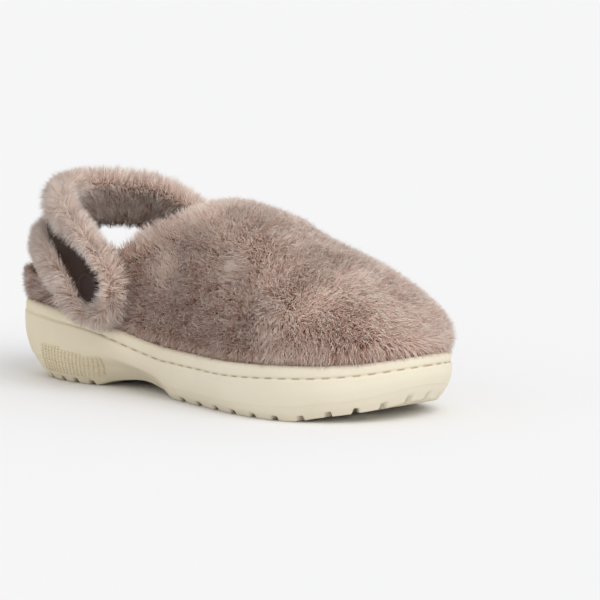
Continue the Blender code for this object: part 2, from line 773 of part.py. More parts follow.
def turned(shell, x, z, rows):
    """Body of revolution about the Y axis through x, z: rows of radius and y, outermost last."""
    angle = np.linspace(0, 2 * math.pi, TURN_STEPS, endpoint=False)
    rings = [np.c_[x + r * np.cos(angle), np.full(len(angle), y), z + r * np.sin(angle)] for r, y in rows]
    first, last = shell.stack(rings)
    shell.faces.append(tuple(first[::-1]))
    shell.faces.append(tuple(last))
    return shell


def rivet_end(side):
    """Place of a rivet: x and z, and how far out the strap's centre and the shank's end lie."""
    x, y, z = STRAP["x"][0], STRAP["y"][0], STRAP["z"][0]
    wall = wall_at(x, z) + side * sum(side_at(x)) / 2
    return x, z, y, wall - SOCKET_DEPTH


def facing(rows, side):
    """Rows of a turned body for one side; its order turns over so that its faces point out."""
    return [(r, side * y) for r, y in (rows if side < 0 else rows[::-1])]


def make_rivet(name, side, material):
    x, z, centre, end = rivet_end(side)
    rows = [(SHANK_RADIUS, end), (SHANK_RADIUS, centre + RIVET["height"][0])]
    rows += [(radius, centre + height) for radius, height in rows_of(RIVET)]
    return turned(Shell(), x, z, facing(rows, side)).make(name, material)


def make_bore(name, side, material):
    x, z, centre, end = rivet_end(side)
    rows = [(SHANK_RADIUS + GAP, y) for y in (end - GAP, centre + BORE_OVERRUN)]
    return turned(Shell(), x, z, facing(rows, side)).make(name, material)


def main():
    for leftover in list(bpy.data.objects):
        bpy.data.objects.remove(leftover)
    foam, fur, fleece, rubber = (finish(name) for name in COLOURS)
    make_sole(foam)
    make_insole(fleece)
    upper = make_upper(fur)
    strap_fur = make_strap_fur(fur)
    heel_strap = make_heel_strap(rubber)
    for name, side in (("lateral", -1.0), ("medial", 1.0)):
        make_rivet("rivet_" + name, side, rubber)
        bore = make_bore("bore_" + name, side, rubber)
        for piece in (upper, strap_fur, heel_strap):
            cut(piece, bore)


main()
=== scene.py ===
"""Looks of a fur clog for the right foot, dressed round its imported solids.

Metres, in the solids' own frame: +X to the toe, -Y to the outer side of the foot, floor at z = 0.
"""
import math

import bpy
import numpy as np
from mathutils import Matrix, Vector, kdtree


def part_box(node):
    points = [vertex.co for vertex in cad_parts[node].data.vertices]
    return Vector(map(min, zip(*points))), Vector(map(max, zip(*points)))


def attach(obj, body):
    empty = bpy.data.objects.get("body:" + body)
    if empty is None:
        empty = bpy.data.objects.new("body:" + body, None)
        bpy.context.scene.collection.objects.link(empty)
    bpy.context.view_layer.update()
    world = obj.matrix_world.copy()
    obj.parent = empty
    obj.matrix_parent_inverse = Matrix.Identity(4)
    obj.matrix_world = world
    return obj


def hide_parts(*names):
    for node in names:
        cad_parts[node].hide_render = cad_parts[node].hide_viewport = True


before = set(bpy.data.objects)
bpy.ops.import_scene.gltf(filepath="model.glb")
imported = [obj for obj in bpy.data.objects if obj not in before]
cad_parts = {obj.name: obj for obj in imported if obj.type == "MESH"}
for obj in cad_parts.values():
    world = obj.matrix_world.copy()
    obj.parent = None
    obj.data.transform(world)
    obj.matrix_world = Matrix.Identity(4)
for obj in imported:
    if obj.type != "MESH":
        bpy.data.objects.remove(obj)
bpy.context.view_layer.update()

# Camera: the photo's angle to the shoe
AZIMUTH, ELEVATION = 45.0, 9.0
PHOTO_SIDE = 600              # pixels
PIXELS_PER_METRE = 1934.0     # at the shoe
ORIGIN_PIXEL = (229.0, 393.0)
CAMERA_DISTANCE = 2.5
SENSOR = 36.0                 # millimetres

# Sizes that the solids have too
GAP = 0.0003
GROOVE_HALF = 0.0012
LIP = 0.0042                  # rim outside the upper
LEDGE_DROP, LEDGE_END = 0.0030, 0.0105
BED_INSET, INSOLE_INSET = 0.0115, 0.0122
INSOLE_THICKNESS = 0.0045
WALL = 0.0054                 # upper, with the dense foot of its pile
NOTCH_DEPTH, NOTCH_LENGTH = 0.0027, 0.020
NOTCH_TOP, NOTCH_MOUTH = 0.0012, 0.0024      # half widths of a gap between lugs
STRAP_HALF = 0.0090           # rubber strap, half width
BAND_HALF = 0.0205            # fur sleeve, half width
RIM_CLEARANCE = 0.0010
FOOT_INSET = LIP + 2 * GAP
HEEL_ROUND, TOE_ROUND, TOE_BLUNT = 0.035, 0.058, 2.4
SWELL_HEIGHT, SWELL_LOW = 0.050, 0.7
COLLAR_ROUND = 0.4
MOUTH_BACK, MOUTH_FRONT = -0.095, -0.035
COLLAR_MARGIN, SLEEVE_FREE = 0.004, -0.100

# Facets
CURVE_STEPS = 40              # between two points of a smooth line
SOLE_STEPS, UPPER_STEPS = 460, 84            # outline steps on each side
UPPER_ROWS, TRACE_ROWS = 40, 120
LINING_ROWS, LINING_FOOT = 16, 2             # the lining's rows, and the row of the upper where it ends
STRAP_STEPS, END_STEPS, STATIONS = 110, 12, 400
SLEEVE_ROWS = 44
NEAR_SPINE = 0.985            # share of the way to the middle line at which a flat face is closed

# Skin under the pile
SKIN_DROP = 0.0030            # under the solid's outside, so that the pile fills up to it
SLEEVE_DROP = 0.0022

# Fleece lining
LINING = 0.0010               # thickness
HEM_INSET = 0.0004


def table(columns, *rows):
    """A table whose columns are read by name."""
    return dict(zip(columns.split(), np.array(rows, float).T))


def rows_of(columns):
    """The rows of a table."""
    return zip(*columns.values())


# Sole outline at its widest: half widths to the outer and the inner side of the foot
OUTLINE = table(
    "x lateral medial",
    (-0.128, 0.0230, 0.0220),
    (-0.115, 0.0358, 0.0340),
    (-0.095, 0.0412, 0.0392),
    (-0.060, 0.0415, 0.0385),
    (-0.020, 0.0415, 0.0370),
    (0.020, 0.0475, 0.0395),
    (0.050, 0.0530, 0.0455),
    (0.075, 0.0535, 0.0505),
    (0.100, 0.0455, 0.0490),
    (0.118, 0.0315, 0.0405),
    (0.129, 0.0140, 0.0275))
HEEL_TIP = (-0.134, 0.0)
TOE_TIP = (0.134, 0.006)
SPINE_BACK, SPINE_FRONT = -0.098, 0.088      # middle line of the tread

# Sole heights along the foot, and how far its tread edge and waist lie inside the outline
SOLE = table(
    "x ground tread waist groove rim bed",
    (-0.134, 0.0000, 0.0140, 0.0000, 0.0361, 0.0422, 0.0270),
    (-0.115, 0.0000, 0.0120, 0.0000, 0.0355, 0.0416, 0.0268),
    (-0.095, 0.0000, 0.0110, 0.0000, 0.0342, 0.0403, 0.0260),
    (-0.070, 0.0000, 0.0110, 0.0005, 0.0320, 0.0379, 0.0249),
    (-0.057, 0.0032, 0.0110, 0.0045, 0.0302, 0.0361, 0.0241),
    (-0.039, 0.0050, 0.0105, 0.0075, 0.0261, 0.0322, 0.0224),
    (-0.021, 0.0030, 0.0090, 0.0050, 0.0226, 0.0290, 0.0203),
    (-0.005, 0.0000, 0.0075, 0.0008, 0.0207, 0.0274, 0.0189),
    (0.040, 0.0000, 0.0065, 0.0000, 0.0203, 0.0270, 0.0180),
    (0.085, 0.0000, 0.0065, 0.0000, 0.0224, 0.0288, 0.0180),
    (0.100, 0.0026, 0.0068, 0.0000, 0.0231, 0.0293, 0.0182),
    (0.119, 0.0064, 0.0072, 0.0000, 0.0250, 0.0308, 0.0190),
    (0.134, 0.0140, 0.0066, 0.0000, 0.0280, 0.0335, 0.0200))

# Side of the sole from the tread to the groove: share of that height, of the tread's inset, of the waist
SIDE = table(
    "level tread waist",
    (0.000, 1.100, 0.80),
    (0.012, 1.020, 0.83),
    (0.035, 0.960, 0.87),
    (0.060, 0.920, 0.90),
    (0.090, 0.850, 0.93),
    (0.130, 0.755, 0.96),
    (0.165, 0.675, 0.98),
    (0.200, 0.600, 1.00),
    (0.280, 0.465, 0.98),
    (0.345, 0.375, 0.92),
    (0.360, 0.350, 0.90),
    (0.378, 0.290, 0.87),
    (0.395, 0.268, 0.84),
    (0.460, 0.200, 0.58),
    (0.500, 0.165, 0.40),
    (0.540, 0.130, 0.26),
    (0.580, 0.098, 0.16),
    (0.630, 0.065, 0.10),
    (0.720, 0.020, 0.05),
    (0.800, 0.005, 0.02),
    (0.880, 0.000, 0.00),
    (0.950, 0.000, 0.00))

# Groove and rim of the sole, and edge of the insole: height over each one's own line, and inset
GROOVE = table(
    "rise inset",
    (-0.0012, 0.00000),
    (-0.0006, 0.00015),
    (-0.0003, 0.00075),
    (0.0000, 0.00110),
    (0.0003, 0.00100),
    (0.0007, 0.00060),
    (0.0013, 0.00045))
RIM = table(
    "rise inset",
    (-0.0028, 0.00045),
    (-0.0018, 0.00070),
    (-0.0011, 0.00115),
    (-0.0005, 0.00175),
    (-0.0001, 0.00250),
    (0.0000, 0.00320),
    (0.0000, LIP),
    (-LEDGE_DROP, LIP + GAP),
    (-LEDGE_DROP, LEDGE_END))
INSOLE = table(
    "rise inset",
    (GAP, INSOLE_INSET + 0.0012),
    (GAP + 0.0006, INSOLE_INSET + 0.0004),
    (GAP + 0.0014, INSOLE_INSET),
    (INSOLE_THICKNESS - 0.0016, INSOLE_INSET),
    (INSOLE_THICKNESS - 0.0007, INSOLE_INSET + 0.0004),
    (INSOLE_THICKNESS - 0.0002, INSOLE_INSET + 0.0012),
    (INSOLE_THICKNESS, INSOLE_INSET + 0.0024))

# Stretches of the tread's edge that are cut into lugs, heel and forefoot
PADS = table(
    "back front pitch",
    (-0.140, -0.064, 0.0105),
    (-0.005, 0.140, 0.0150))

# Upper: crest of the arch, squareness of its section and swell over the rim
UPPER = table(
    "x crest fullness swell",
    (-0.130, 0.0900, 4.0, 0.0055),
    (-0.095, 0.0980, 4.5, 0.0028),
    (-0.053, 0.1020, 5.0, 0.0010),
    (-0.020, 0.1020, 3.8, 0.0030),
    (-0.003, 0.1000, 3.2, 0.0040),
    (0.032, 0.0960, 2.9, 0.0045),
    (0.065, 0.0835, 2.6, 0.0045),
    (0.100, 0.0705, 2.4, 0.0056),
    (0.130, 0.0575, 2.2, 0.0056))
COLLAR = table(
    "x height",
    (-0.130, 0.0575),
    (-0.100, 0.0545),
    (-0.070, 0.0575),
    (-0.050, 0.0705),
    (-0.033, 0.0812),
    (-0.0205, 0.0890),
    (-0.010, 0.0955),
    (-0.003, 0.1000),
    (0.010, 0.1400))

# Soft troughs and ridges of the upper: middle, side of the foot (-1 outer), half length
# along the foot, half height, lean in degrees, and depth, which is negative for a ridge
DENTS = table(
    "x z side length height lean depth",
    (0.049, 0.056, -1, 0.010, 0.024, 24, 0.0024),
    (0.018, 0.077, -1, 0.011, 0.016, -20, -0.0016),
    (-0.006, 0.062, -1, 0.008, 0.024, 8, 0.0018),
    (0.034, 0.041, -1, 0.016, 0.008, 0, 0.0010),
    (0.083, 0.056, -1, 0.016, 0.014, 30, -0.0012),
    (0.100, 0.047, -1, 0.008, 0.014, -15, 0.0012),
    (0.046, 0.060, 1, 0.010, 0.022, -18, 0.0020),
    (0.014, 0.074, 1, 0.012, 0.015, 20, -0.0016),
    (0.080, 0.050, 1, 0.012, 0.012, 10, 0.0012))

# Heel strap: centre of the rubber from a rivet, round one side, to the back, and sag of its fur sleeve
STRAP = table(
    "x y z hang",
    (-0.0530, 0.0460, 0.0555, 0.0030),
    (-0.0667, 0.0456, 0.0690, 0.0026),
    (-0.0806, 0.0430, 0.0775, 0.0018),
    (-0.0968, 0.0338, 0.0830, 0.0012),
    (-0.1105, 0.0186, 0.0845, 0.0010),
    (-0.1170, 0.0000, 0.0845, 0.0010))

# Along the strap, as a share of its length from the outer rivet to the inner one: lean inwards in degrees,
# rise over the line above, and widths of the rubber and of the sleeve's upper and lower roll as shares of
# the full ones
BAND = table(
    "share lean rise rubber upper lower",
    (0.00, 0, 0.0000, 1.00, 1.00, 1.00),
    (0.10, 4, 0.0000, 0.88, 1.05, 1.08),
    (0.18, 9, 0.0004, 0.70, 1.16, 1.22),
    (0.29, 15, 0.0012, 0.54, 1.30, 1.36),
    (0.40, 18, 0.0026, 0.50, 1.33, 1.17),
    (0.50, 20, 0.0042, 0.52, 1.23, 0.78),
    (0.60, 22, 0.0060, 0.60, 1.00, 0.40),
    (0.70, 22, 0.0060, 0.66, 0.90, 0.35),
    (0.80, 14, 0.0036, 0.78, 0.90, 0.50),
    (0.90, 4, 0.0006, 0.92, 0.98, 0.86),
    (1.00, 0, 0.0000, 1.00, 1.00, 1.00))

# Section of the fur sleeve from the channel, over the roll, round its edge to the inner face
SLEEVE = table(
    "inset height",
    (BAND_HALF, -0.0019),
    (0.0112, -0.0018),
    (0.0106, 0.0012),
    (0.0084, 0.0046),
    (0.0048, 0.0056),
    (0.0014, 0.0032),
    (0.0000, -0.0010),
    (0.0014, -0.0052),
    (0.0052, -0.0076),
    (0.0120, -0.0080),
    (BAND_HALF, -0.0080))

# Rubber strap across: inset from its edge and height over its centre, with a bead along the edge
STRAP_EDGE = table(
    "inset height",
    (0.0012, -0.0015),
    (0.0004, -0.0013),
    (0.0000, -0.0007),
    (0.0000, 0.0010),
    (0.0004, 0.0016),
    (0.0010, 0.0018),
    (0.0016, 0.0016),
    (0.0021, 0.0011),
    (0.0030, 0.0010))


def step_up(low, high, value):
    """0 below low, 1 above high, smooth between."""
    share = np.clip((value - low) / (high - low), 0, 1)
    return share * share * (3 - 2 * share)


def hermite(t, start, end, leave, reach):
    """Cubic from start to end with the given slopes over a unit step."""
    turn = t * t * (3 - 2 * t)
    return start + (end - start) * turn + leave * t * (1 - t) ** 2 - reach * t * t * (1 - t)


def smooth(knots, values, at):
    """Values between the knots on a cubic that doesn't overshoot; constant beyond the ends."""
    step = np.diff(knots)
    rise = np.diff(values) / step
    slope = np.zeros(len(values))
    product = rise[:-1] * rise[1:]
    total = np.where(product > 0, rise[:-1] + rise[1:], 1.0)
    slope[1:-1] = np.where(product > 0, 2 * product / total, 0.0)
    slope[0], slope[-1] = rise[0], rise[-1]
    at = np.clip(at, knots[0], knots[-1])
    k = np.clip(np.searchsorted(knots, at) - 1, 0, len(step) - 1)
    t = (at - knots[k]) / step[k]
    return hermite(t, values[k], values[k + 1], step[k] * slope[k], step[k] * slope[k + 1])


def sole_value(column, x):
    return smooth(SOLE["x"], SOLE[column], x)


def height_over(line, rise=0.0):
    """Height over one of the sole's lines, as a function of x."""
    return lambda x: sole_value(line, x) + rise


def side_height(level, x):
    """Height of the sole's side at a share of the way from the ground to the groove."""
    ground = sole_value("ground", x)
    return ground + level * (sole_value("groove", x) - GROOVE_HALF - ground)


def upper_value(column, x):
    return smooth(UPPER["x"], UPPER[column], x)


def collar_height(x):
    return smooth(COLLAR["x"], COLLAR["height"], x)


def curve(points, closed):
    """A smooth dense line through the points."""
    p = np.asarray(points, float)
    after = np.roll(p, -1, 0)
    span = np.linalg.norm(after - p, axis=1)[:, None]
    rise = (after - p) / span
    back_span, back_rise = np.roll(span, 1, 0), np.roll(rise, 1, 0)
    tangent = (rise * back_span + back_rise * span) / (span + back_span)
    if not closed:
        tangent[0], tangent[-1] = rise[0], rise[-2]
    t = np.linspace(0, 1, CURVE_STEPS, endpoint=False)[:, None]
    line = []
    for k in range(len(p) if closed else len(p) - 1):
        j = (k + 1) % len(p)
        line.append(hermite(t, p[k], p[j], span[k] * tangent[k], span[k] * tangent[j]))
    line.append(p[:1] if closed else p[-1:])
    return np.concatenate(line)


def length_along(line):
    """Distance along a line at each of its points."""
    return np.r_[0, np.cumsum(np.linalg.norm(np.diff(line, axis=0), axis=1))]


def spaced(line, count):
    """count + 1 points evenly along a line."""
    length = length_along(line)
    at = np.linspace(0, length[-1], count + 1)
    return np.stack([np.interp(at, length, axis) for axis in line.T], 1)


def unit(vectors):
    return vectors / np.maximum(np.linalg.norm(vectors, axis=-1, keepdims=True), 1e-12)


def outline_sides():
    """Dense outer and inner side of the sole's outline, each from heel tip to toe tip."""
    outer = np.c_[OUTLINE["x"], -OUTLINE["lateral"]]
    inner = np.c_[OUTLINE["x"], OUTLINE["medial"]]
    line = curve(np.r_[[HEEL_TIP], outer, [TOE_TIP], inner[::-1]], True)
    turn = (len(outer) + 1) * CURVE_STEPS
    return line[:turn + 1], line[turn:][::-1]


SIDES = outline_sides()
LOOK_AHEAD = 0.001            # for the outline's direction at a point


def on_outline(side, at):
    """Point of one side of the outline at a distance from the heel's tip, and the way outwards there."""
    length = length_along(side)
    spot, ahead = (np.array([np.interp(place, length, axis) for axis in side.T])
                   for place in (at, at + LOOK_AHEAD))
    run = unit(ahead - spot)
    return spot, np.array((-run[1], run[0])) * (-1.0 if side is SIDES[0] else 1.0)


class Plan:
    """The sole's outline in even steps: points, outward normals and distance from the heel's tip."""

    def __init__(self, steps):
        outer, inner = (spaced(side, steps) for side in SIDES)
        self.points = np.r_[outer, inner[-2:0:-1]]
        run = np.roll(self.points, -1, 0) - np.roll(self.points, 1, 0)
        self.normals = unit(np.c_[run[:, 1], -run[:, 0]])
        self.along = np.r_[length_along(outer), length_along(inner)[-2:0:-1]]
        self.outer = np.arange(2 * steps) <= steps

    def ring(self, inset, height):
        """The outline drawn in by an inset, at heights given as a function of x."""
        plan = self.points - self.normals * np.broadcast_to(inset, len(self.points))[:, None]
        return np.c_[plan, height(plan[:, 0])]


def to_spine(ring, share, height):
    """A ring drawn in towards the middle line of the sole by a share of the way."""
    goal = np.c_[np.clip(ring[:, 0], SPINE_BACK, SPINE_FRONT), np.zeros(len(ring))]
    plan = ring[:, :2] + (goal - ring[:, :2]) * share
    return np.c_[plan, height(plan[:, 0])]


# Making pieces

def edit(piece, *operators):
    """Run edit-mode operators, each with its settings, on the whole of one piece."""
    bpy.ops.object.select_all(action="DESELECT")
    piece.select_set(True)
    bpy.context.view_layer.objects.active = piece
    bpy.ops.object.mode_set(mode="EDIT")
    bpy.ops.mesh.select_all(action="SELECT")
    for operator, settings in operators:
        operator(**settings)
    bpy.ops.object.mode_set(mode="OBJECT")


def wrapped(name, points):
    """A grid primitive laid round a body: rows of points, each row a closed ring, ends filled."""
    rows, columns = points.shape[:2]
    bpy.ops.object.select_all(action="DESELECT")
    bpy.ops.mesh.primitive_grid_add(x_subdivisions=columns, y_subdivisions=rows - 1, size=1)
    piece = bpy.context.object
    piece.name = piece.data.name = name
    closed = np.concatenate([points, points[:, :1]], 1)
    piece.data.vertices.foreach_set("co", closed.astype(np.float32).ravel())
    edit(piece,
         (bpy.ops.mesh.remove_doubles, {"threshold": 1e-6}),
         (bpy.ops.mesh.fill_holes, {"sides": 0}),
         (bpy.ops.mesh.normals_make_consistent, {"inside": False}))
    bpy.ops.object.shade_smooth()
    return piece


def dressed(piece, finish, slot, *nodes):
    """Give a piece its finish and its body, and hide the solids it stands for. slot is not used."""
    piece.data.materials.clear()
    piece.data.materials.append(finish)
    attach(piece, "root")
    if nodes:
        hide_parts(*nodes)
    return piece


def tube_faces(rings, sides):
    """Triangles of a short tube of rings of points, with both ends closed."""
    faces = []
    for ring in range(rings - 1):
        for k in range(sides):
            a, b = ring * sides + k, ring * sides + (k + 1) % sides
            faces += [(a, b, b + sides), (a, b + sides, a + sides)]
    last = (rings - 1) * sides
    for k in range(1, sides - 1):
        faces += [(0, k + 1, k), (last, last + k, last + k + 1)]
    return faces


def joined(name, points, triangles, uv=None, normals=None):
    """One mesh of many small equal shapes: points (shape, point, 3), triangles of one shape.

    Hair also gets a place on the tone map and a shading normal for each point.
    """
    count, size = points.shape[:2]
    faces = (np.asarray(triangles)[None] + (np.arange(count) * size)[:, None, None]).reshape(-1, 3)
    mesh = bpy.data.meshes.new(name)
    mesh.vertices.add(count * size)
    mesh.vertices.foreach_set("co", points.astype(np.float32).ravel())
    mesh.loops.add(faces.size)
    mesh.loops.foreach_set("vertex_index", faces.astype(np.int32).ravel())
    mesh.polygons.add(len(faces))
    mesh.polygons.foreach_set("loop_start", np.arange(0, faces.size, 3, dtype=np.int32))
    if uv is not None:
        layer = mesh.uv_layers.new(name="OFBake")
        layer.uv.foreach_set("vector", uv.reshape(-1, 2)[faces.ravel()].astype(np.float32).ravel())
    mesh.update(calc_edges=True)
    mesh.shade_smooth()
    if normals is not None:
        mesh.normals_split_custom_set_from_vertices(normals.reshape(-1, 3))
    piece = bpy.data.objects.new(name, mesh)
    bpy.context.scene.collection.objects.link(piece)
    return piece


# Finishes

class Number:
    """A number socket of a finish; operators on it add Math nodes."""

    def __init__(self, finish, socket):
        self.finish = finish
        self.socket = socket

    def with_other(self, operation, first, second):
        made = self.finish.node("ShaderNodeMath", {"operation": operation}, {0: first, 1: second})
        return Number(self.finish, made.outputs[0])

    def __add__(self, other):
        return self.with_other("ADD", self, other)

    def __sub__(self, other):
        return self.with_other("SUBTRACT", self, other)

    def __rsub__(self, other):
        return self.with_other("SUBTRACT", other, self)

    def __mul__(self, other):
        return self.with_other("MULTIPLY", self, other)

    __radd__ = __add__
    __rmul__ = __mul__


class Finish:
    """A material in the making: its Principled shader and the nodes that feed it."""

    def __init__(self, name, **constants):
        self.material = bpy.data.materials.new(name)
        self.material.use_nodes = True
        self.tree = self.material.node_tree
        self.shader = self.tree.nodes["Principled BSDF"]
        for socket, value in constants.items():
            self.feed(self.shader.inputs[socket.replace("_", " ")], value)

    def feed(self, socket, value):
        if isinstance(value, Number):
            value = value.socket
        if isinstance(value, bpy.types.NodeSocket):
            self.tree.links.new(value, socket)
        else:
            socket.default_value = value

    def node(self, kind, settings, inputs):
        """A node of a kind, with its settings first and then its sockets' values or links."""
        made = self.tree.nodes.new(kind)
        for key, value in settings.items():
            if key == "stops":
                for at, colour in value[2:]:
                    made.color_ramp.elements.new(at).color = colour
                for element, (at, colour) in zip(made.color_ramp.elements, sorted(value)):
                    element.position = at
                    element.color = colour
            else:
                setattr(made, key, value)
        for key, value in inputs.items():
            self.feed(made.inputs[key], value)
        return made

    def number(self, kind, settings, inputs):
        return Number(self, self.node(kind, settings, inputs).outputs[0])

    def place(self):
        return self.node("ShaderNodeTexCoord", {}, {}).outputs["Object"]

    def noise(self, scale, detail):
        """Noise over the piece's own place, about 0.5 in the mean."""
        inputs = {"Vector": self.place(), "Scale": scale, "Detail": detail}
        return self.number("ShaderNodeTexNoise", {}, inputs)

    def ramp(self, factor, *stops):
        made = self.node("ShaderNodeValToRGB", {"stops": stops}, {"Fac": factor})
        return made.outputs["Color"]

    def mixed(self, factor, first, second, how="MIX"):
        made = self.node("ShaderNodeMix", {"data_type": "RGBA", "blend_type": how},
                         {0: factor, 6: first, 7: second})
        return made.outputs[2]

    def bump(self, height, strength, distance):
        made = self.node("ShaderNodeBump", {}, {"Height": height, "Strength": strength, "Distance": distance})
        self.feed(self.shader.inputs["Normal"], made.outputs[0])

    def colour(self, value):
        self.feed(self.shader.inputs["Base Color"], value)

    def roughness(self, value):
        self.feed(self.shader.inputs["Roughness"], value)


def foam_finish():
    """Matt cream foam: faint cloudiness, fine pores, a dull skin, and painted shade that makes it slightly
    yellower to the heel.
    """
    finish = Finish("cream_foam", Specular_IOR_Level=0.35)
    cloud = finish.noise(22.0, 3.0)
    pores = finish.noise(1400.0, 1.0)
    cream = finish.ramp(cloud, (0.30, (0.77, 0.700, 0.545, 1)), (0.72, (0.84, 0.770, 0.62, 1)))
    along = finish.number("ShaderNodeSeparateXYZ", {}, {"Vector": finish.place()})
    # painted shade: the foam turns slightly yellower and darker towards the heel
    heel_painted_shade = 0.2 - along * 6.0
    finish.colour(finish.mixed(heel_painted_shade, cream, (1.0, 0.97, 0.90, 1), "MULTIPLY"))
    finish.roughness(cloud * 0.16 + 0.46)
    finish.bump(pores * 0.7 + finish.noise(260.0, 2.0) * 0.3, strength=0.10, distance=0.0004)
    return finish.material


COLOUR_PLACES = (0.0, 0.32, 0.78)            # of a strand's three colours, from its root to its tip


def fur_finish(name, dark, light):
    """Pile: each strand from its root to its tip between a dark and a light strand of three colours."""
    finish = Finish(name, Roughness=0.9, Specular_IOR_Level=0.0)
    on_strand = finish.node("ShaderNodeUVMap", {"uv_map": "OFBake"}, {}).outputs[0]
    parts = finish.node("ShaderNodeSeparateXYZ", {}, {"Vector": on_strand})
    tone, along = Number(finish, parts.outputs[0]), Number(finish, parts.outputs[1])
    ramps = [finish.ramp(along, *zip(COLOUR_PLACES, colours)) for colours in (dark, light)]
    finish.colour(finish.mixed(tone, *ramps))
    return finish.material


def fleece_finish(name, low, high):
    """Short dense fleece or hide under the pile: tufts in colour and relief."""
    finish = Finish(name, Specular_IOR_Level=0.15)
    tuft = finish.noise(420.0, 3.0)
    blotch = finish.noise(45.0, 2.0)
    finish.colour(finish.ramp(tuft * 0.7 + blotch * 0.3, (0.32, low), (0.68, high)))
    finish.roughness(tuft * 0.12 + 0.84)
    finish.bump(tuft, strength=0.8, distance=0.0012)
    return finish.material


def rubber_finish(name, low, high, rough, shine):
    """Moulded rubber: fine grain, slightly cloudy colour and gloss."""
    finish = Finish(name, Specular_IOR_Level=shine)
    cloud = finish.noise(60.0, 3.0)
    grain = finish.noise(900.0, 2.0)
    finish.colour(finish.ramp(cloud, (0.3, low), (0.7, high)))
    finish.roughness(cloud * 0.14 + (rough - 0.07))
    finish.bump(grain, strength=0.12, distance=0.0003)
    return finish.material


def thread_finish():
    """Dark tan thread with a fine twist."""
    finish = Finish("tan_thread", Specular_IOR_Level=0.2)
    twist = finish.noise(1500.0, 1.0)
    finish.colour(finish.ramp(twist, (0.3, (0.46, 0.36, 0.24, 1)), (0.7, (0.60, 0.49, 0.34, 1))))
    finish.roughness(twist * 0.2 + 0.7)
    finish.bump(twist, strength=0.4, distance=0.0002)
    return finish.material


# Sole

NOTCH_SLOPE = 0.0008          # half the slope at the inner end of a gap
TREAD_EDGE = 0.0012           # flat edge of the tread


def notch_mask(plan):
    """1 in the gaps between the edge lugs, 0 on the lugs, with sloping sides between."""
    mask = np.zeros(len(plan.points))
    for side, here in zip(SIDES, (plan.outer, ~plan.outer)):
        length = length_along(side)
        for back, front, pitch in rows_of(PADS):
            start, end = length[(side[:, 0] >= back) & (side[:, 0] <= front)][[0, -1]]
            count = int((end - start) / pitch)
            middles = start + (np.arange(count) + 0.5) * (end - start) / count
            away = abs(plan.along[:, None] - middles).min(1)
            gap = 1 - step_up(NOTCH_TOP, NOTCH_MOUTH, away)
            mask = np.where(here, np.maximum(mask, gap), mask)
    return mask


def notched(ring, mask):
    """Lift a ring to the roof of the gaps between the lugs."""
    roof = sole_value("ground", ring[:, 0]) + NOTCH_DEPTH
    lifted = ring.copy()
    lifted[:, 2] += mask * np.maximum(roof - ring[:, 2], 0)
    return lifted


def side_ring(plan, level, tread_share, waist_share):
    """Ring round the side of the sole at a share of the height from ground to groove."""
    x = plan.points[:, 0]
    inset = sole_value("tread", x) * tread_share + sole_value("waist", x) * waist_share
    return plan.ring(inset, lambda at: side_height(level, at))


def make_sole(finish):
    plan = Plan(SOLE_STEPS)
    mask = notch_mask(plan)
    ground, bed = height_over("ground"), height_over("bed")
    edge = side_ring(plan, *next(rows_of(SIDE)))
    inward = unit(to_spine(edge, 1.0, ground) - edge)
    rows = [to_spine(edge, share, ground) for share in (NEAR_SPINE, 0.75, 0.52)]
    for reach in (NOTCH_LENGTH + NOTCH_SLOPE, NOTCH_LENGTH - NOTCH_SLOPE, 0.5 * NOTCH_LENGTH, TREAD_EDGE):
        ring = edge + inward * reach
        ring[:, 2] = ground(ring[:, 0])
        rows.append(notched(ring, mask * (reach < NOTCH_LENGTH)))
    rows += [notched(side_ring(plan, *row), mask) for row in rows_of(SIDE)]
    for line, section in (("groove", GROOVE), ("rim", RIM)):
        rows += [plan.ring(inset, height_over(line, rise)) for rise, inset in rows_of(section)]
    bed_edge = plan.ring(BED_INSET, bed)
    rows += [bed_edge] + [to_spine(bed_edge, share, bed) for share in (0.4, NEAR_SPINE)]
    dressed(wrapped("foam_sole", np.array(rows)), finish, "foam", "sole")


STITCH_BACK = -0.052          # stitches run from here round the toe
STITCH_PITCH = 0.0078
STITCH_LENGTH, STITCH_RADIUS = 0.0046, 0.00018
STITCH_INSET = 0.0006
STITCH_SIDES = 6
STITCH = table(               # rings from end to end: shares of the length and of the radius
    "along radius",
    (-0.50, 0.35),
    (-0.34, 1.00),
    (0.34, 1.00),
    (0.50, 0.35))


def make_stitches(finish):
    """Short stitches that lie in the groove round the front of the sole."""
    capsules = []
    turn = np.linspace(0, 2 * math.pi, STITCH_SIDES, endpoint=False)
    for side in SIDES:
        length = length_along(side)
        start = length[side[:, 0] >= STITCH_BACK][0]
        for middle in np.arange(start, length[-1], STITCH_PITCH):
            rings = []
            for along, radius in rows_of(STITCH):
                spot, out = on_outline(side, middle + along * STITCH_LENGTH)
                spot = spot - out * STITCH_INSET
                z = sole_value("groove", spot[0])
                swing = radius * STITCH_RADIUS
                rings.append(np.c_[spot + out * np.cos(turn)[:, None] * swing, z + np.sin(turn) * swing])
            capsule = np.concatenate(rings)
            capsules.append(capsule if side is SIDES[0] else capsule[::-1])
    faces = tube_faces(len(STITCH["along"]), STITCH_SIDES)
    dressed(joined("groove_stitches", np.array(capsules), faces), finish, "foam")


# Grip patch of the heel: nubs in leaning columns, fewer towards the arch
NUB_COLUMNS, NUB_ROWS = 17, 11
NUB_THINNING = 6                             # columns after which there is one row less
NUB_START, NUB_PITCH = 0.054, 0.0027         # along the outline from the heel's tip
NUB_LOW, NUB_STEP = 0.16, 0.044              # share of the side's height
NUB_LEAN = 0.00055                           # along the outline, a row
NUB_HALF_LENGTH = 0.00086                    # along the outline
NUB_HALF_HEIGHT = 0.02                       # share of the side's height
NUB_SIDES = 8
NUB = table(                                 # rings from root to face: share of the size, distance outside
    "share out",
    (1.0, -0.00040),
    (0.9, 0.00057),
    (0.5, 0.00095))


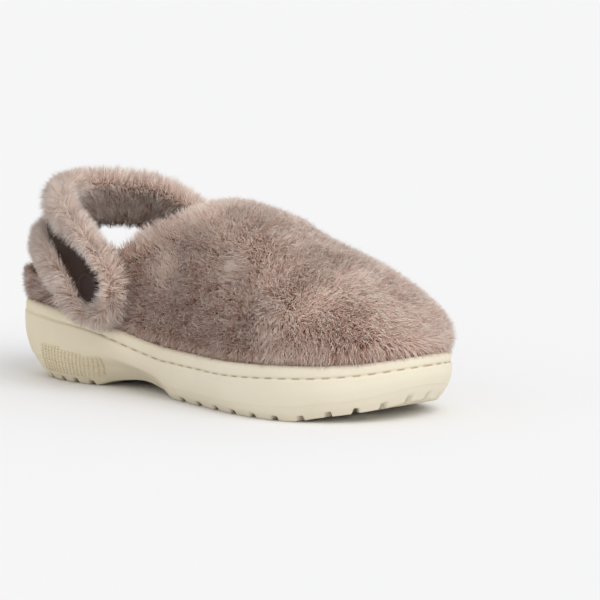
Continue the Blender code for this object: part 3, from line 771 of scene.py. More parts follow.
def on_side(side, at, level, out):
    """Point of the sole's side: distance along the outline, share of its height, distance outside it."""
    spot, outward = on_outline(side, at)
    inset = sum(sole_value(part, spot[0]) * np.interp(level, SIDE["level"], SIDE[part])
                for part in ("tread", "waist"))
    plan = spot - outward * (inset - out)
    return np.r_[plan, side_height(level, plan[0])]


def make_nubs(finish):
    """The grip patch on both sides of the heel."""
    nubs = []
    turn = np.linspace(0, 2 * math.pi, NUB_SIDES, endpoint=False)
    for side, way in zip(SIDES, (-1.0, 1.0)):
        along, up = way * NUB_HALF_LENGTH * np.cos(turn), NUB_HALF_HEIGHT * np.sin(turn)
        for column in range(NUB_COLUMNS):
            for row in range(NUB_ROWS - column // NUB_THINNING):
                at = NUB_START + column * NUB_PITCH + row * NUB_LEAN
                level = NUB_LOW + row * NUB_STEP
                nubs.append([on_side(side, at + share * da, level + share * dz, out)
                             for share, out in rows_of(NUB) for da, dz in zip(along, up)])
    faces = tube_faces(len(NUB["share"]), NUB_SIDES)
    dressed(joined("heel_grip_nubs", np.array(nubs), faces), finish, "foam")


# Upper

FINE = Plan(UPPER_STEPS)
FOOT = FINE.points - FINE.normals * FOOT_INSET


def side_at(x):
    """Outer and inner edge of the upper's plan at x."""
    outer = FOOT[:UPPER_STEPS + 1]
    inner = np.r_[FOOT[:1], FOOT[:UPPER_STEPS - 1:-1]]
    return np.interp(x, outer[:, 0], outer[:, 1]), np.interp(x, inner[:, 0], inner[:, 1])


def arch_height(x):
    """Height of the crest over the rim, closing roundly at heel and toe."""
    heel, toe = FOOT[0, 0], FOOT[UPPER_STEPS, 0]
    back = np.clip((heel + HEEL_ROUND - x) / HEEL_ROUND, 0, 1)
    front = np.clip((x - toe + TOE_ROUND) / TOE_ROUND, 0, 1)
    closing = np.sqrt(1 - back ** 2) * np.sqrt(1 - front ** TOE_BLUNT)
    return (upper_value("crest", x) - sole_value("rim", x)) * closing


def dome(plan):
    """Height of the upper's outside over points of its plan."""
    x, y = plan.T
    low, high = side_at(x)
    half = np.maximum((high - low) / 2, 1e-6)
    share = np.clip(abs(y - (low + high) / 2) / half, 0, 1)
    return sole_value("rim", x) + arch_height(x) * np.sqrt(1 - share ** upper_value("fullness", x))


def swell(x, z):
    """How far the upper stands out over its plan at a height."""
    rise = np.clip((z - sole_value("rim", x)) / SWELL_HEIGHT, 0, 1)
    return upper_value("swell", x) * np.sin(math.pi * rise ** SWELL_LOW)


def wall_at(x, z):
    """Distance of the upper's outside from the middle of its plan at a height."""
    low, high = side_at(x)
    rise = np.clip((z - sole_value("rim", x)) / np.maximum(arch_height(x), 1e-6), 0, 0.999)
    share = (1 - rise ** 2) ** (1 / upper_value("fullness", x))
    return (high - low) / 2 * share + swell(x, z)


def grid_normals(grid):
    """Outward normals of a grid of rows by ring points."""
    along_ring = np.roll(grid, -1, 1) - np.roll(grid, 1, 1)
    return unit(np.cross(along_ring, np.gradient(grid, axis=0)))


HALVINGS = 40                 # to find the collar's line


def upper_outside():
    """Rows of the upper's outside from the rim to the collar, the shape that the solid has without locks."""
    goal = np.c_[np.clip(FOOT[:, 0], MOUTH_BACK, MOUTH_FRONT), np.zeros(len(FOOT))]
    low, high = np.zeros(len(FOOT)), np.ones(len(FOOT))
    for _ in range(HALVINGS):
        middle = (low + high) / 2
        plan = FOOT + (goal - FOOT) * middle[:, None]
        past = dome(plan) > collar_height(plan[:, 0])
        low, high = np.where(past, low, middle), np.where(past, middle, high)
    lines = []
    for share in np.linspace(0, 1, TRACE_ROWS) ** 3:
        plan = FOOT + (goal - FOOT) * (high * share)[:, None]
        z = dome(plan)
        plan = plan + FINE.normals * swell(plan[:, 0], z)[:, None]
        lines.append(np.c_[plan, z])
    lines = np.array(lines)
    return np.stack([spaced(lines[:, k], UPPER_ROWS) for k in range(len(FOOT))], 1)


def patch(points, x, z, side, length, height, lean=0.0):
    """1 at the middle of a soft oval on one side of the foot, fading to 0 round it; lean in degrees."""
    turn = math.radians(lean)
    dx, dz = points[..., 0] - x, points[..., 2] - z
    along = (dx * math.cos(turn) + dz * math.sin(turn)) / length
    up = (dz * math.cos(turn) - dx * math.sin(turn)) / height
    return np.exp(-along ** 2 - up ** 2) * (points[..., 1] * side > 0)


def dented(points, normals):
    """Points pressed in at the troughs and raised at the ridges."""
    moved = points.copy()
    for *oval, depth in rows_of(DENTS):
        moved -= normals * (depth * patch(points, *oval))[..., None]
    return moved


def make_upper(outside, skin, normals, finish):
    """The hide of the upper: outside, rounded collar and inner face as one closed wall."""
    inside = outside - normals * WALL
    on_ledge = height_over("rim", GAP - LEDGE_DROP)
    foot, inner_foot = (FINE.ring(inset, on_ledge) for inset in (FOOT_INSET, LEDGE_END - GAP))
    rise = unit(outside[-1] - outside[-2])
    lip = (skin[-1] + inside[-1]) / 2 + rise * WALL * COLLAR_ROUND
    inner_face = inside[np.linspace(UPPER_ROWS, LINING_FOOT, LINING_ROWS).astype(int)]
    rows = np.concatenate([[foot], skin, [lip], inner_face, [inner_foot], [foot]])
    dressed(wrapped("upper_hide", rows), finish, "fur", "upper")


def make_lining(outside, normals, finish):
    """Fleece on the upper's inside, from under the collar's lip down over the foam to the insole."""
    down = np.linspace(UPPER_ROWS - 1, LINING_FOOT, LINING_ROWS).astype(int)
    face, back = ((outside - normals * (WALL + depth))[down] for depth in (LINING, GAP))
    ledge, hem = ([FINE.ring(inset + depth, height) for depth in (LINING, GAP)]
                  for inset, height in ((LEDGE_END, height_over("rim", -LEDGE_DROP)),
                                        (LEDGE_END + HEM_INSET, height_over("bed", INSOLE_THICKNESS))))
    rows = np.concatenate([face, [ledge[0], hem[0], hem[1], ledge[1]], back[::-1], face[:1]])
    dressed(wrapped("fleece_lining", rows), finish, "fleece")


# Heel strap

def strap_frame():
    """Stations along the strap with its centre and its directions along, outwards and across."""
    half = np.c_[STRAP["x"], -STRAP["y"], STRAP["z"]]
    line = spaced(curve(np.r_[half, half[-2::-1] * (1, -1, 1)], False), STATIONS)
    share = np.linspace(0, 1, len(line))
    line[:, 2] += smooth(BAND["share"], BAND["rise"], share)
    lean = np.radians(smooth(BAND["share"], BAND["lean"], share))[:, None]
    tangent = unit(np.gradient(line, axis=0))
    out = unit(np.c_[-tangent[:, 1], tangent[:, 0], np.zeros(len(line))])
    level = np.cross(tangent, out)
    across = level * np.cos(lean) - out * np.sin(lean)
    return length_along(line), line, tangent, out * np.cos(lean) + level * np.sin(lean), across


STATION, CENTRE, TANGENT, OUTWARD, ACROSS = strap_frame()
HANG = smooth(-STRAP["x"], STRAP["hang"], -CENTRE[:, 0])
WIDTHS = [smooth(BAND["share"], BAND[part], STATION / STATION[-1]) for part in ("rubber", "upper", "lower")]


def on_strap(s, w, h):
    """Points at s along the strap, w across it and h outwards; straight beyond its ends."""
    inside = np.clip(s, 0, STATION[-1])

    def at(rows):
        return np.stack([np.interp(inside, STATION, axis) for axis in rows.T], 1)
    beyond = (s - inside)[:, None]
    return at(CENTRE) + at(TANGENT) * beyond + at(ACROSS) * w[:, None] + at(OUTWARD) * h[:, None]


def band_path(half):
    """Way round the strap at a half width, with round ends: distances along the strap and across it."""
    turn = np.linspace(0, math.pi / 2, END_STEPS + 1)
    along = np.linspace(0, STATION[-1], STRAP_STEPS + 1)
    s = np.r_[-half * np.cos(turn[:-1]), along, STATION[-1] + half * np.sin(turn[1:])]
    w = np.r_[half * np.sin(turn[:-1]), np.full(len(along), half), half * np.cos(turn[1:])]
    return np.r_[s, s[-2:0:-1]], np.r_[w, -w[-2:0:-1]]


def band_ring(half, height, hang=0.0):
    """Ring round the strap at a half width; hang is its share of the sleeve's sag."""
    s, w = band_path(half)
    on_rubber = np.clip(w, -STRAP_HALF, STRAP_HALF)
    to_roll = np.clip(w, -STRAP_HALF - GAP, STRAP_HALF + GAP)
    rubber, upper, lower = (np.interp(s, STATION, width) for width in WIDTHS)
    w = on_rubber * rubber + to_roll - on_rubber + (w - to_roll) * np.where(w > 0, upper, lower)
    w = w - hang * np.interp(s, STATION, HANG)
    return on_strap(s, w, np.full(len(s), height))


def rest_on_upper(points):
    """Lay points of the sleeve's inner side on the upper's wall where it stands behind them."""
    x, y, z = points.T
    middle = sum(side_at(x)) / 2
    laid = points.copy()
    behind = (z <= collar_height(x) + COLLAR_MARGIN) & (x >= SLEEVE_FREE)
    laid[:, 1] = np.where(behind, middle + np.copysign(wall_at(x, z) + 2 * GAP, y), y)
    return laid, behind


def sleeve_skin():
    """Rows of the sleeve's skin, closed along its middle line, their normals, and where it rests."""
    section = spaced(curve(np.c_[SLEEVE["inset"], SLEEVE["height"]], False), SLEEVE_ROWS)
    edge = np.argmin(section[:, 0])
    channel = BAND_HALF - STRAP_HALF - GAP
    rows, resting = [], []
    for k, (inset, height) in enumerate(section):
        ring = band_ring(BAND_HALF - inset, height, max(0.0, 1 - inset / channel))
        behind = np.zeros(len(ring), bool)
        if k > edge:
            ring, behind = rest_on_upper(ring)
        floor = sole_value("rim", ring[:, 0]) + RIM_CLEARANCE + inset / 4
        ring[:, 2] = np.maximum(ring[:, 2], floor)
        rows.append(ring)
        resting.append(behind)
    rows = np.array(rows)
    normals = grid_normals(rows[:, ::-1])[:, ::-1]
    skin = rows - normals * SLEEVE_DROP
    for end in (0, -1):
        skin[end] = (skin[end] + np.roll(skin[end, ::-1], 1, 0)) / 2
    return skin, normals, np.array(resting)


def make_heel_strap(finish):
    rows = [band_ring(STRAP_HALF - inset, height) for inset, height in rows_of(STRAP_EDGE)]
    bottom, top = (band_ring(0.0, STRAP_EDGE["height"][end]) for end in (0, -1))
    piece = wrapped("rubber_strap", np.array([bottom, *rows, top]))
    dressed(piece, finish, "strap_rubber", "heel_strap")


RIVET_RADIUS, RIVET_SIDES = 0.0073, 64
RIVET_DEPTH = 0.0028          # head
SHANK_RADIUS, SHANK_LENGTH = 0.0030, 0.0135
RIVET_FACE = table(           # steps from its edge inwards: width, and how far it sinks
    "width drop",
    (0.0008, 0.0000),
    (0.0010, 0.0000),
    (0.0006, 0.0007),
    (0.0024, 0.0002))


def pick_end(piece, way):
    """Select the one face of a piece that lies furthest along y in the given way, and go to edit mode."""
    bpy.ops.object.mode_set(mode="EDIT")
    bpy.ops.mesh.select_mode(type="FACE")
    bpy.ops.mesh.select_all(action="DESELECT")
    bpy.ops.object.mode_set(mode="OBJECT")
    max(piece.data.polygons, key=lambda face: face.center.y * way).select = True
    bpy.ops.object.mode_set(mode="EDIT")


def make_rivet(name, way, finish):
    """A rivet with a raised rim round a shallow dish, on a shank; way is -1 on the outer side."""
    low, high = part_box(name)
    face = low.y if way < 0 else high.y
    place = ((low.x + high.x) / 2, face - way * RIVET_DEPTH / 2, (low.z + high.z) / 2)
    bpy.ops.object.select_all(action="DESELECT")
    bpy.ops.mesh.primitive_cylinder_add(vertices=RIVET_SIDES, radius=RIVET_RADIUS, depth=RIVET_DEPTH,
                                        location=place, rotation=(math.pi / 2, 0, 0))
    piece = bpy.context.object
    piece.name = piece.data.name = name + "_head"
    bpy.ops.object.transform_apply(location=True, rotation=True, scale=True)
    pick_end(piece, way)
    for width, drop in rows_of(RIVET_FACE):
        bpy.ops.mesh.inset(thickness=width, depth=-drop)
    bpy.ops.object.mode_set(mode="OBJECT")
    pick_end(piece, -way)
    bpy.ops.mesh.inset(thickness=RIVET_RADIUS - SHANK_RADIUS, depth=0.0)
    bpy.ops.mesh.extrude_region_move(TRANSFORM_OT_translate={"value": (0, -way * SHANK_LENGTH, 0)})
    bpy.ops.object.mode_set(mode="OBJECT")
    rounding = piece.modifiers.new("rounding", "BEVEL")
    rounding.width = 0.0005
    rounding.segments = 3
    rounding.limit_method = "ANGLE"
    rounding.angle_limit = math.radians(35)
    bpy.ops.object.modifier_apply(modifier="rounding")
    bpy.ops.object.shade_smooth_by_angle(angle=math.radians(50))
    dressed(piece, finish, "rivet", name)


def make_insole(finish):
    rows = [FINE.ring(inset, height_over("bed", rise)) for rise, inset in rows_of(INSOLE)]
    under = [to_spine(rows[0], share, height_over("bed", GAP)) for share in (NEAR_SPINE, 0.5)]
    over = [to_spine(rows[-1], share, height_over("bed", INSOLE_THICKNESS))
            for share in (0.15, 0.35, 0.6, 0.8, NEAR_SPINE)]
    piece = dressed(wrapped("fleece_insole", np.array(under + rows + over)), finish, "fleece", "insole")


# Fur

WAVES, WAVE_RANGE = 8, (0.7, 1.5)            # waves in a ripple, and how many of each go to its size


def ripple(points, size, seed):
    """Smooth noise of about -1 to 1 over points, with features of the given size."""
    chance = np.random.default_rng(seed)
    way = unit(chance.normal(size=(WAVES, 3))) * chance.uniform(*WAVE_RANGE, (WAVES, 1)) * 2 * math.pi / size
    phase = chance.uniform(0, 2 * math.pi, WAVES)
    return np.sin(points @ way.T + phase).mean(-1) * 2.0


class Pelt:
    """A skin to plant fur on: rows by ring points of place, normal, lay, length, lean and tone."""

    def __init__(self, place, normal, lay, length, lean, tone, density):
        fields = [np.broadcast_to(v, place.shape[:2])[..., None] for v in (length, lean, tone)]
        grid = np.concatenate([place, normal, lay] + fields, 2)
        self.grid = np.concatenate([grid, grid[:, :1]], 1)
        p = self.grid[..., :3]
        area = np.linalg.norm(np.cross(p[1:, 1:] - p[:-1, :-1], p[1:, :-1] - p[:-1, 1:]), axis=2)
        density = np.broadcast_to(density, place.shape[:2])
        density = np.concatenate([density, density[:, :1]], 1)
        weight = area * (density[1:, 1:] + density[:-1, :-1] + density[1:, :-1] + density[:-1, 1:])
        self.weight = weight / weight.sum()

    def roots(self, count, chance):
        """Random roots, as many to each cell as its area and density ask."""
        cell = chance.choice(self.weight.size, count, p=self.weight.ravel())
        row, column = np.divmod(cell, self.weight.shape[1])
        u, v = chance.random((2, count, 1))
        g = self.grid
        mixed = ((g[row, column] * (1 - u) + g[row, column + 1] * u) * (1 - v)
                 + (g[row + 1, column] * (1 - u) + g[row + 1, column + 1] * u) * v)
        return np.split(mixed, (3, 6, 9, 10, 11), axis=1)


HAIR_LENGTHS = (0.80, 1.08)   # shares of the pile's length
SIDEWAYS = 0.60               # spread of the lay, in radians
BENDS = (0.70, 1.30)          # lean of a strand's lower and upper half, as shares of the pile's
GRIPS, MIDDLE_GRIP = (0.5, 1.15), 0.35       # of a clump on its strands' tips, and its share at their middles
HAIR_TONES, CLUMP_TONES = 0.32, 0.34         # spreads of the tone
TONE_RANGE = (0.02, 0.98)
ROOT_DEPTH = 0.0004


def combed(pelt, count, chance, share, lift, clump, pull, stray):
    """Root, middle and tip of each strand, gathered into clumps, its tone and its skin's normal.

    share shortens the pile, lift lightens it, and stray is how far strands leave the pile's lean, in radians.
    """
    place, normal, lay, length, lean, tone = pelt.roots(count, chance)
    normal, lay = unit(normal), unit(lay)
    length = length * share * chance.uniform(*HAIR_LENGTHS, (count, 1))
    lean = lean + chance.normal(0, stray, (count, 1))
    way = unit(lay + np.cross(normal, lay) * chance.normal(0, SIDEWAYS, (count, 1)))
    lower, upper = (length / 2 * (normal * np.cos(lean * bend) + way * np.sin(lean * bend)) for bend in BENDS)
    middle = place + lower
    tip = middle + upper
    leaders = max(count // clump, 1)
    tree = kdtree.KDTree(leaders)
    for k in range(leaders):
        tree.insert(place[k], k)
    tree.balance()
    leader = np.array([tree.find(spot)[1] for spot in place])
    grip = pull * chance.uniform(*GRIPS, (count, 1))
    middle = middle + (middle[leader] - middle) * grip * MIDDLE_GRIP
    tip = tip + (tip[leader] - tip) * grip
    tone = tone + lift + chance.normal(0, HAIR_TONES, (count, 1))
    tone = tone + chance.normal(0, CLUMP_TONES, leaders)[leader][:, None]
    return place - normal * ROOT_DEPTH, middle, tip, np.clip(tone, *TONE_RANGE), normal


def around(axis):
    """Three directions round each axis."""
    helper = np.where(abs(axis[:, 2:]) > 0.9, (1.0, 0.0, 0.0), (0.0, 0.0, 1.0))
    first = unit(np.cross(axis, helper))
    second = np.cross(axis, first)
    turn = np.arange(3) * 2 * math.pi / 3
    return first[:, None] * np.cos(turn)[:, None] + second[:, None] * np.sin(turn)[:, None]


STRAND = [(0, 2, 1)]
STRAND += [f for k in range(3) for f in ((k, (k + 1) % 3, 3 + (k + 1) % 3), (k, 3 + (k + 1) % 3, 3 + k))]
STRAND += [(3 + k, 3 + (k + 1) % 3, 6) for k in range(3)]
SPIKE = [(0, 2, 1)] + [(k, (k + 1) % 3, 3) for k in range(3)]
TONE_WIDTH = 0.012            # of a strand on the tone map
TAPER = 0.82                  # of a bent strand at its middle
SKIN_SHARE = 0.70             # of the skin's normal in a hair's shading, which makes the pile read as one


def hairs(rings, tip, tone, along, normal):
    """Three-sided strands through rings, each with its middles, ways round and radius, to their tips.

    Gives points, their places on the tone map, where along runs from root to tip, and shading normals.
    """
    points = [middle[:, None] + way * radius for middle, way, radius in rings]
    points = np.concatenate(points + [tip[:, None]], 1)
    across = np.r_[[-1, 0, 1] * len(rings), 0] * TONE_WIDTH
    along = np.r_[np.repeat(along[:-1], 3), along[-1]]
    uv = np.stack([tone + across, np.broadcast_to(along, (len(tone), len(along)))], 2)
    normal = normal[:, None]
    round_normals = np.concatenate([way for _, way, _ in rings] + [normal], 1)
    return points, uv, unit(round_normals * (1 - SKIN_SHARE) + normal * SKIN_SHARE)


def strands(root, middle, tip, tone, normal, radius):
    """Bent strands of ten triangles."""
    rings = ((root, around(unit(middle - root)), radius), (middle, around(unit(tip - root)), radius * TAPER))
    return hairs(rings, tip, tone, (0.0, 0.5, 1.0), normal)


def spikes(root, middle, tip, tone, normal, radius):
    """Straight strands of four triangles, which need no middle."""
    return hairs([(root, around(unit(tip - root)), radius)], tip, tone, (0.05, 0.85), normal)


GUARD_LIFT, UNDER_LIFT = 0.30, -0.06         # of the tone
UNDER_LENGTH, UNDER_WIDTH = 0.88, 1.15       # undercoat against guard hair
UNDER_PULL = 0.6


def make_fur(finishes, pelt, guard, under, seed, radius, clump, pull, stray, region=None):
    """Guard hair and undercoat on a pelt, split into pieces by a region number of each root.

    guard and under count the strands, clump is how many hang together, and pull is how closely.
    """
    chance = np.random.default_rng(seed)
    guard_hair = combed(pelt, guard, chance, 1.0, GUARD_LIFT, clump, pull, stray)
    undercoat = combed(pelt, under, chance, UNDER_LENGTH, UNDER_LIFT, clump // 2, pull * UNDER_PULL, stray)
    for number, (name, finish) in enumerate(finishes.items()):
        for hair, build, faces, ending, width in (
                (guard_hair, strands, STRAND, "_guard_hair", radius),
                (undercoat, spikes, SPIKE, "_undercoat", radius * UNDER_WIDTH)):
            mine = slice(None) if region is None else region(hair[0]) == number
            points, uv, normals = build(*(part[mine] for part in hair), width)
            dressed(joined(name + ending, points, faces, uv, normals), finish, "fur")


def turned(lay, normals, angle):
    """The pile's lay turned about the skin's normals."""
    return lay * np.cos(angle)[..., None] + np.cross(normals, lay) * np.sin(angle)[..., None]


# Swirls of the upper's pile: middle, side of the foot (-1 outer), half length along the foot,
# half height, turn of the lay in radians, and how much lighter the pile is there
SWIRLS = table(
    "x z side length height turn tone",
    (-0.012, 0.067, -1, 0.007, 0.012, 1.5, 0.42),
    (0.040, 0.074, -1, 0.008, 0.007, -1.6, 0.42),
    # no swirl but painted shadow: a darker upright strip next to the front end of the strap's sleeve
    (-0.034, 0.058, -1, 0.007, 0.022, 0.0, -0.38),
    (0.010, 0.044, -1, 0.018, 0.010, 0.0, -0.30),
    (0.050, 0.060, -1, 0.010, 0.014, 0.3, -0.30),
    (0.020, 0.066, -1, 0.006, 0.012, 0.3, -0.20),
    (0.088, 0.060, -1, 0.014, 0.010, 0.4, 0.15),
    (-0.018, 0.070, 1, 0.008, 0.012, -1.2, 0.40),
    (0.010, 0.046, 1, 0.018, 0.010, 0.0, -0.28),
    (0.046, 0.060, 1, 0.012, 0.014, 0.3, -0.30))

# Ways that the pile of the flanks is combed, behind and in front: to the toe, out and up
COMBED = np.array(((0.66, 0.72, 0.22), (0.72, 0.52, -0.45)))
KEY_LIGHT_WAY = (0.75, 0.0, 0.66)              # painted light: pile on skin that faces this way, the way the key light comes from, is lighter
THROAT, THROAT_HALF = -0.034, 0.016          # tuft of longer pile at the collar, along the foot


def upper_pelt(skin, normals):
    """Pile of the upper: combed forward on the flanks and from the throat over the crest."""
    run = unit(np.gradient(skin, axis=0))
    x, y, z = np.moveaxis(skin, 2, 0)
    ahead = step_up(0.030, 0.100, x)[..., None]
    forward = unit(COMBED[0] * (1 - ahead) + COMBED[1] * ahead)
    forward[..., 1] *= np.sign(y)
    slant = np.arccos(np.clip((forward * normals).sum(2), -1, 1))
    up = np.linalg.norm(skin - skin[-1:], axis=2)
    collar = 1 - step_up(0.001, 0.020, up)
    rim = 1 - step_up(0.001, 0.008, z - sole_value("rim", x))
    heel = step_up(0.045, 0.065, -x)
    crest = step_up(0.35, 0.85, normals[..., 2]) * (1 - heel)
    toe = step_up(0.085, 0.120, x)
    flank = (1 - crest) * (1 - toe) * (1 - collar) * (1 - heel) * (1 - rim)
    front = step_up(0.30, 0.80, normals @ unit(np.array(KEY_LIGHT_WAY))) * (1 - heel)
    lay = run * ((2 * collar - 1) * (1 - flank))[..., None] + forward * flank[..., None]
    lay = unit(lay - normals * (lay * normals).sum(2)[..., None])
    swirl = (ripple(skin, 0.042, 3) * 0.45 + ripple(skin, 0.014, 4) * 0.30) * (1 - rim)
    # painted light: pile on the crest and on skin facing the key light is lighter, except at the heel
    painted_light = np.maximum(crest, front)
    tone = 0.84 + 0.10 * ripple(skin, 0.034, 7) + 0.22 * ripple(skin, 0.012, 8)
    # painted shade: pile along the rim is darker where it is not painted lighter
    tone = tone + 0.06 * painted_light - 0.12 * toe - 0.10 * rim * (1 - painted_light) + 0.16 * collar
    # painted shadow: the pile round the heel is darker, as it is in the strap's shadow, with a ripple
    tone = tone - heel * (0.60 + 0.30 * ripple(skin, 0.010, 9))
    for *oval, turn, lighter in rows_of(SWIRLS):
        near = patch(skin, *oval)
        swirl = swirl + turn * near
        tone = tone + lighter * near
    lay = turned(lay, normals, swirl)
    throat = np.exp(-((x - THROAT) / THROAT_HALF) ** 2) * collar
    length = 0.0078 + 0.0012 * toe - 0.0010 * collar + 0.0006 * rim + 0.0034 * throat
    lean = 0.26 + 0.10 * ripple(skin, 0.030, 6) + 0.46 * crest + 0.10 * toe + 0.24 * rim
    lean = lean * abs(2 * collar - 1) * (1 - flank) + (0.80 * slant + 0.12 * ripple(skin, 0.022, 5)) * flank
    lean = lean + 0.55 * throat
    return Pelt(skin, normals, lay, length, lean, tone, 1.0)


# Lean of the sleeve's pile from the channel over the roll to the inner face, in radians away from the rubber
SLEEVE_LEAN = table(
    "share upper lower",
    (0.24, -0.35, 0.15),
    (0.31, -0.70, 0.22),
    (0.38, -0.85, 0.28),
    (0.46, -0.60, 0.32),
    (0.54, -0.32, 0.32),
    (0.62, -0.05, 0.28),
    (0.80, 0.30, 0.20),
    (1.00, 0.45, 0.20))


def sleeve_pelt(rows, normals, resting):
    """Pile of the strap's sleeve: it falls over the rubber from the upper roll and hangs from the lower."""
    share = np.linspace(0, 1, len(rows))[:, None]
    inner = step_up(0.58, 0.72, share)
    down = np.array((0, 0, -1.0)) + normals * normals[..., 2:]
    lay = unit(unit(np.gradient(rows, axis=0)) * (1 - inner)[..., None] + down * inner[..., None])
    swirl = ripple(rows, 0.030, 13) * 0.5 + ripple(rows, 0.012, 17) * 1.3 * inner
    lay = turned(lay, normals, swirl)
    upper = step_up(0.0, 0.5, band_path(1.0)[1])
    over, away = (smooth(SLEEVE_LEAN["share"], SLEEVE_LEAN[roll], share) for roll in ("upper", "lower"))
    lean = over * upper + away * (1 - upper) + 0.10 * ripple(rows, 0.02, 14)
    s = band_path(BAND_HALF)[0]
    behind = step_up(0.014, 0.034, np.minimum(s, STATION[-1] - s))
    length = 0.0080 - 0.0020 * inner + 0.0040 * behind * upper * (1 - step_up(0.24, 0.42, share))
    deep = 1 - upper * (1 - step_up(0.66, 1.00, share))
    crown = upper * step_up(0.44, 0.56, share) * (1 - step_up(0.60, 0.70, share))
    # painted shade: at the back, the crown of the upper roll is darker, fading into the inner face
    tone = 0.62 + 0.10 * ripple(rows, 0.03, 15) - 0.42 * behind * crown
    # the inner face is darker deeper in the loop, partly its own colour and partly painted shade
    tone = tone + (0.16 + 0.50 * ripple(rows, 0.008, 16) - 0.20 * deep) * inner
    # the lower roll at the back is a little darker, partly its own colour and partly painted shade
    tone = tone + (0.30 * (1 - behind) * upper - 0.06 * behind * (1 - upper)) * (1 - inner)
    bare = (share < SLEEVE_LEAN["share"][0]) | resting
    return Pelt(rows, normals, lay, length, lean, tone, np.where(bare, 0.0, 1.0))


HEEL_END, TOE_START = -0.055, 0.072


def upper_region(root):
    """0 outer side of the vamp, 1 its inner side, 2 toe, 3 heel."""
    x, y, _ = root.T
    return np.where(x < HEEL_END, 3, np.where(x > TOE_START, 2, np.where(y > 0, 1, 0)))


# Stage

def look_at(piece, place, target):
    piece.location = place
    piece.rotation_euler = (Vector(target) - Vector(place)).to_track_quat("-Z", "Y").to_euler()


def make_camera():
    a, e = math.radians(AZIMUTH), math.radians(ELEVATION)
    back = Vector((math.sin(a) * math.cos(e), -math.cos(a) * math.cos(e), math.sin(e)))
    right = Vector((math.cos(a), math.sin(a), 0))
    up = back.cross(right)
    middle = PHOTO_SIDE / 2
    target = (right * (middle - ORIGIN_PIXEL[0]) + up * (ORIGIN_PIXEL[1] - middle)) / PIXELS_PER_METRE
    bpy.ops.object.camera_add()
    camera = bpy.context.object
    camera.data.sensor_width = SENSOR
    camera.data.lens = PIXELS_PER_METRE * CAMERA_DISTANCE / PHOTO_SIDE * SENSOR
    look_at(camera, back * CAMERA_DISTANCE, target)
    bpy.context.scene.camera = camera


FLOOR_SIDE = 24.0
KEY_FROM = (0.44, 0.54, 0.72)                # to the camera's right, to the camera, and up
KEY_STRENGTH, KEY_SPREAD = 1.35, 50.0        # spread in degrees
SKY_STRENGTH = 0.74


def make_stage():
    """A pale floor under even studio light, with a soft key from the camera's right."""
    bpy.ops.object.select_all(action="DESELECT")
    bpy.ops.mesh.primitive_plane_add(size=FLOOR_SIDE)
    floor = bpy.context.object
    floor.name = "floor"
    finish = Finish("pale_floor", Roughness=0.9, Specular_IOR_Level=0.0)
    finish.colour((0.88, 0.88, 0.885, 1))
    floor.data.materials.append(finish.material)
    bpy.ops.object.light_add(type="SUN")
    key = bpy.context.object
    key.name = "key"
    key.data.angle = math.radians(KEY_SPREAD)
    key.data.energy = KEY_STRENGTH
    a = math.radians(AZIMUTH)
    right, front = Vector((math.cos(a), math.sin(a), 0)), Vector((math.sin(a), -math.cos(a), 0))
    look_at(key, right * KEY_FROM[0] + front * KEY_FROM[1] + Vector((0, 0, KEY_FROM[2])), (0, 0, 0))
    world = bpy.data.worlds.new("studio")
    bpy.context.scene.world = world
    world.use_nodes = True
    sky = world.node_tree.nodes["Background"]
    sky.inputs["Color"].default_value = (1, 1, 1, 1)
    sky.inputs["Strength"].default_value = SKY_STRENGTH
    bpy.context.scene.view_settings.view_transform = "Standard"


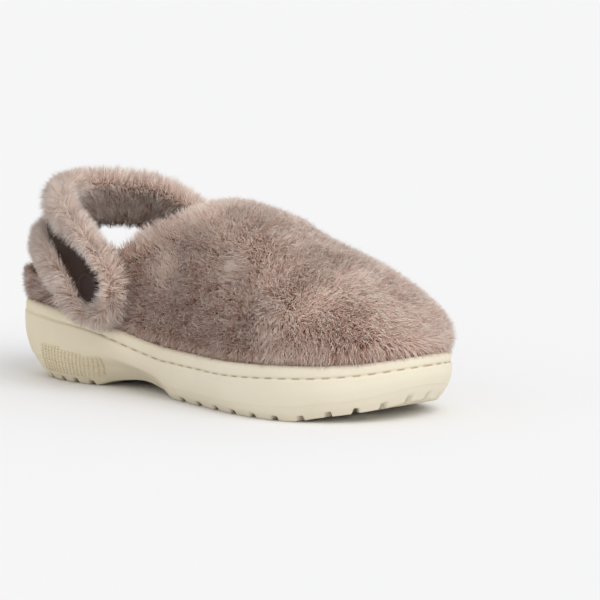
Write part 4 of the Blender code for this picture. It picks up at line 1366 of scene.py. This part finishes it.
def main():
    make_camera()
    make_stage()
    foam = foam_finish()
    hide = fleece_finish("brown_hide", (0.10, 0.056, 0.040, 1), (0.20, 0.125, 0.095, 1))
    fleece = fleece_finish("taupe_fleece", (0.20, 0.145, 0.12, 1), (0.42, 0.33, 0.285, 1))
    fur = fur_finish("taupe_fur",
                     ((0.14, 0.060, 0.045, 1), (0.56, 0.300, 0.225, 1), (0.74, 0.470, 0.370, 1)),
                     ((0.84, 0.480, 0.345, 1), (1.0, 0.735, 0.600, 1), (1.0, 0.880, 0.795, 1)))
    # painted shadow: a darker, duller copy of the taupe fur for the heel, as it looks in the strap's shadow
    heel_fur_painted_shadow = fur_finish("painted_shadow_taupe_fur",
                          ((0.10, 0.058, 0.044, 1), (0.36, 0.225, 0.175, 1), (0.52, 0.355, 0.29, 1)),
                          ((0.40, 0.240, 0.180, 1), (0.90, 0.68, 0.57, 1), (0.96, 0.84, 0.76, 1)))
    strap_fur = fur_finish("pale_taupe_fur",
                           ((0.36, 0.250, 0.200, 1), (0.66, 0.480, 0.395, 1), (0.79, 0.620, 0.525, 1)),
                           ((0.88, 0.625, 0.515, 1), (1.0, 0.79, 0.685, 1), (1.0, 0.91, 0.840, 1)))
    strap_hide = fleece_finish("pale_hide", (0.32, 0.21, 0.165, 1), (0.48, 0.345, 0.28, 1))
    rubber = rubber_finish("brown_rubber", (0.034, 0.018, 0.012, 1), (0.050, 0.028, 0.020, 1),
                           rough=0.42, shine=0.12)
    button = rubber_finish("brown_rivet", (0.024, 0.010, 0.008, 1), (0.036, 0.016, 0.013, 1),
                           rough=0.30, shine=0.18)

    make_sole(foam)
    make_stitches(thread_finish())
    make_nubs(foam)
    outside = upper_outside()
    normals = grid_normals(outside)
    skin = dented(outside - normals * SKIN_DROP, normals)
    make_upper(outside, skin, normals, hide)
    make_lining(outside, normals, fleece)
    make_fur({"outer_vamp": fur, "inner_vamp": fur, "toe": fur, "heel": heel_fur_painted_shadow},
             upper_pelt(skin, grid_normals(skin)), guard=16000, under=98000, seed=21,
             radius=0.00018, clump=14, pull=0.25, stray=0.26, region=upper_region)
    sleeve, sleeve_normals, resting = sleeve_skin()
    dressed(wrapped("strap_sleeve", sleeve), strap_hide, "fur", "strap_fur")
    make_fur({"strap": strap_fur},
             sleeve_pelt(sleeve, sleeve_normals, resting), guard=8000, under=44000, seed=22,
             radius=0.00016, clump=22, pull=0.55, stray=0.40)
    make_heel_strap(rubber)
    make_rivet("rivet_lateral", -1.0, button)
    make_rivet("rivet_medial", 1.0, button)
    make_insole(fleece)


main()
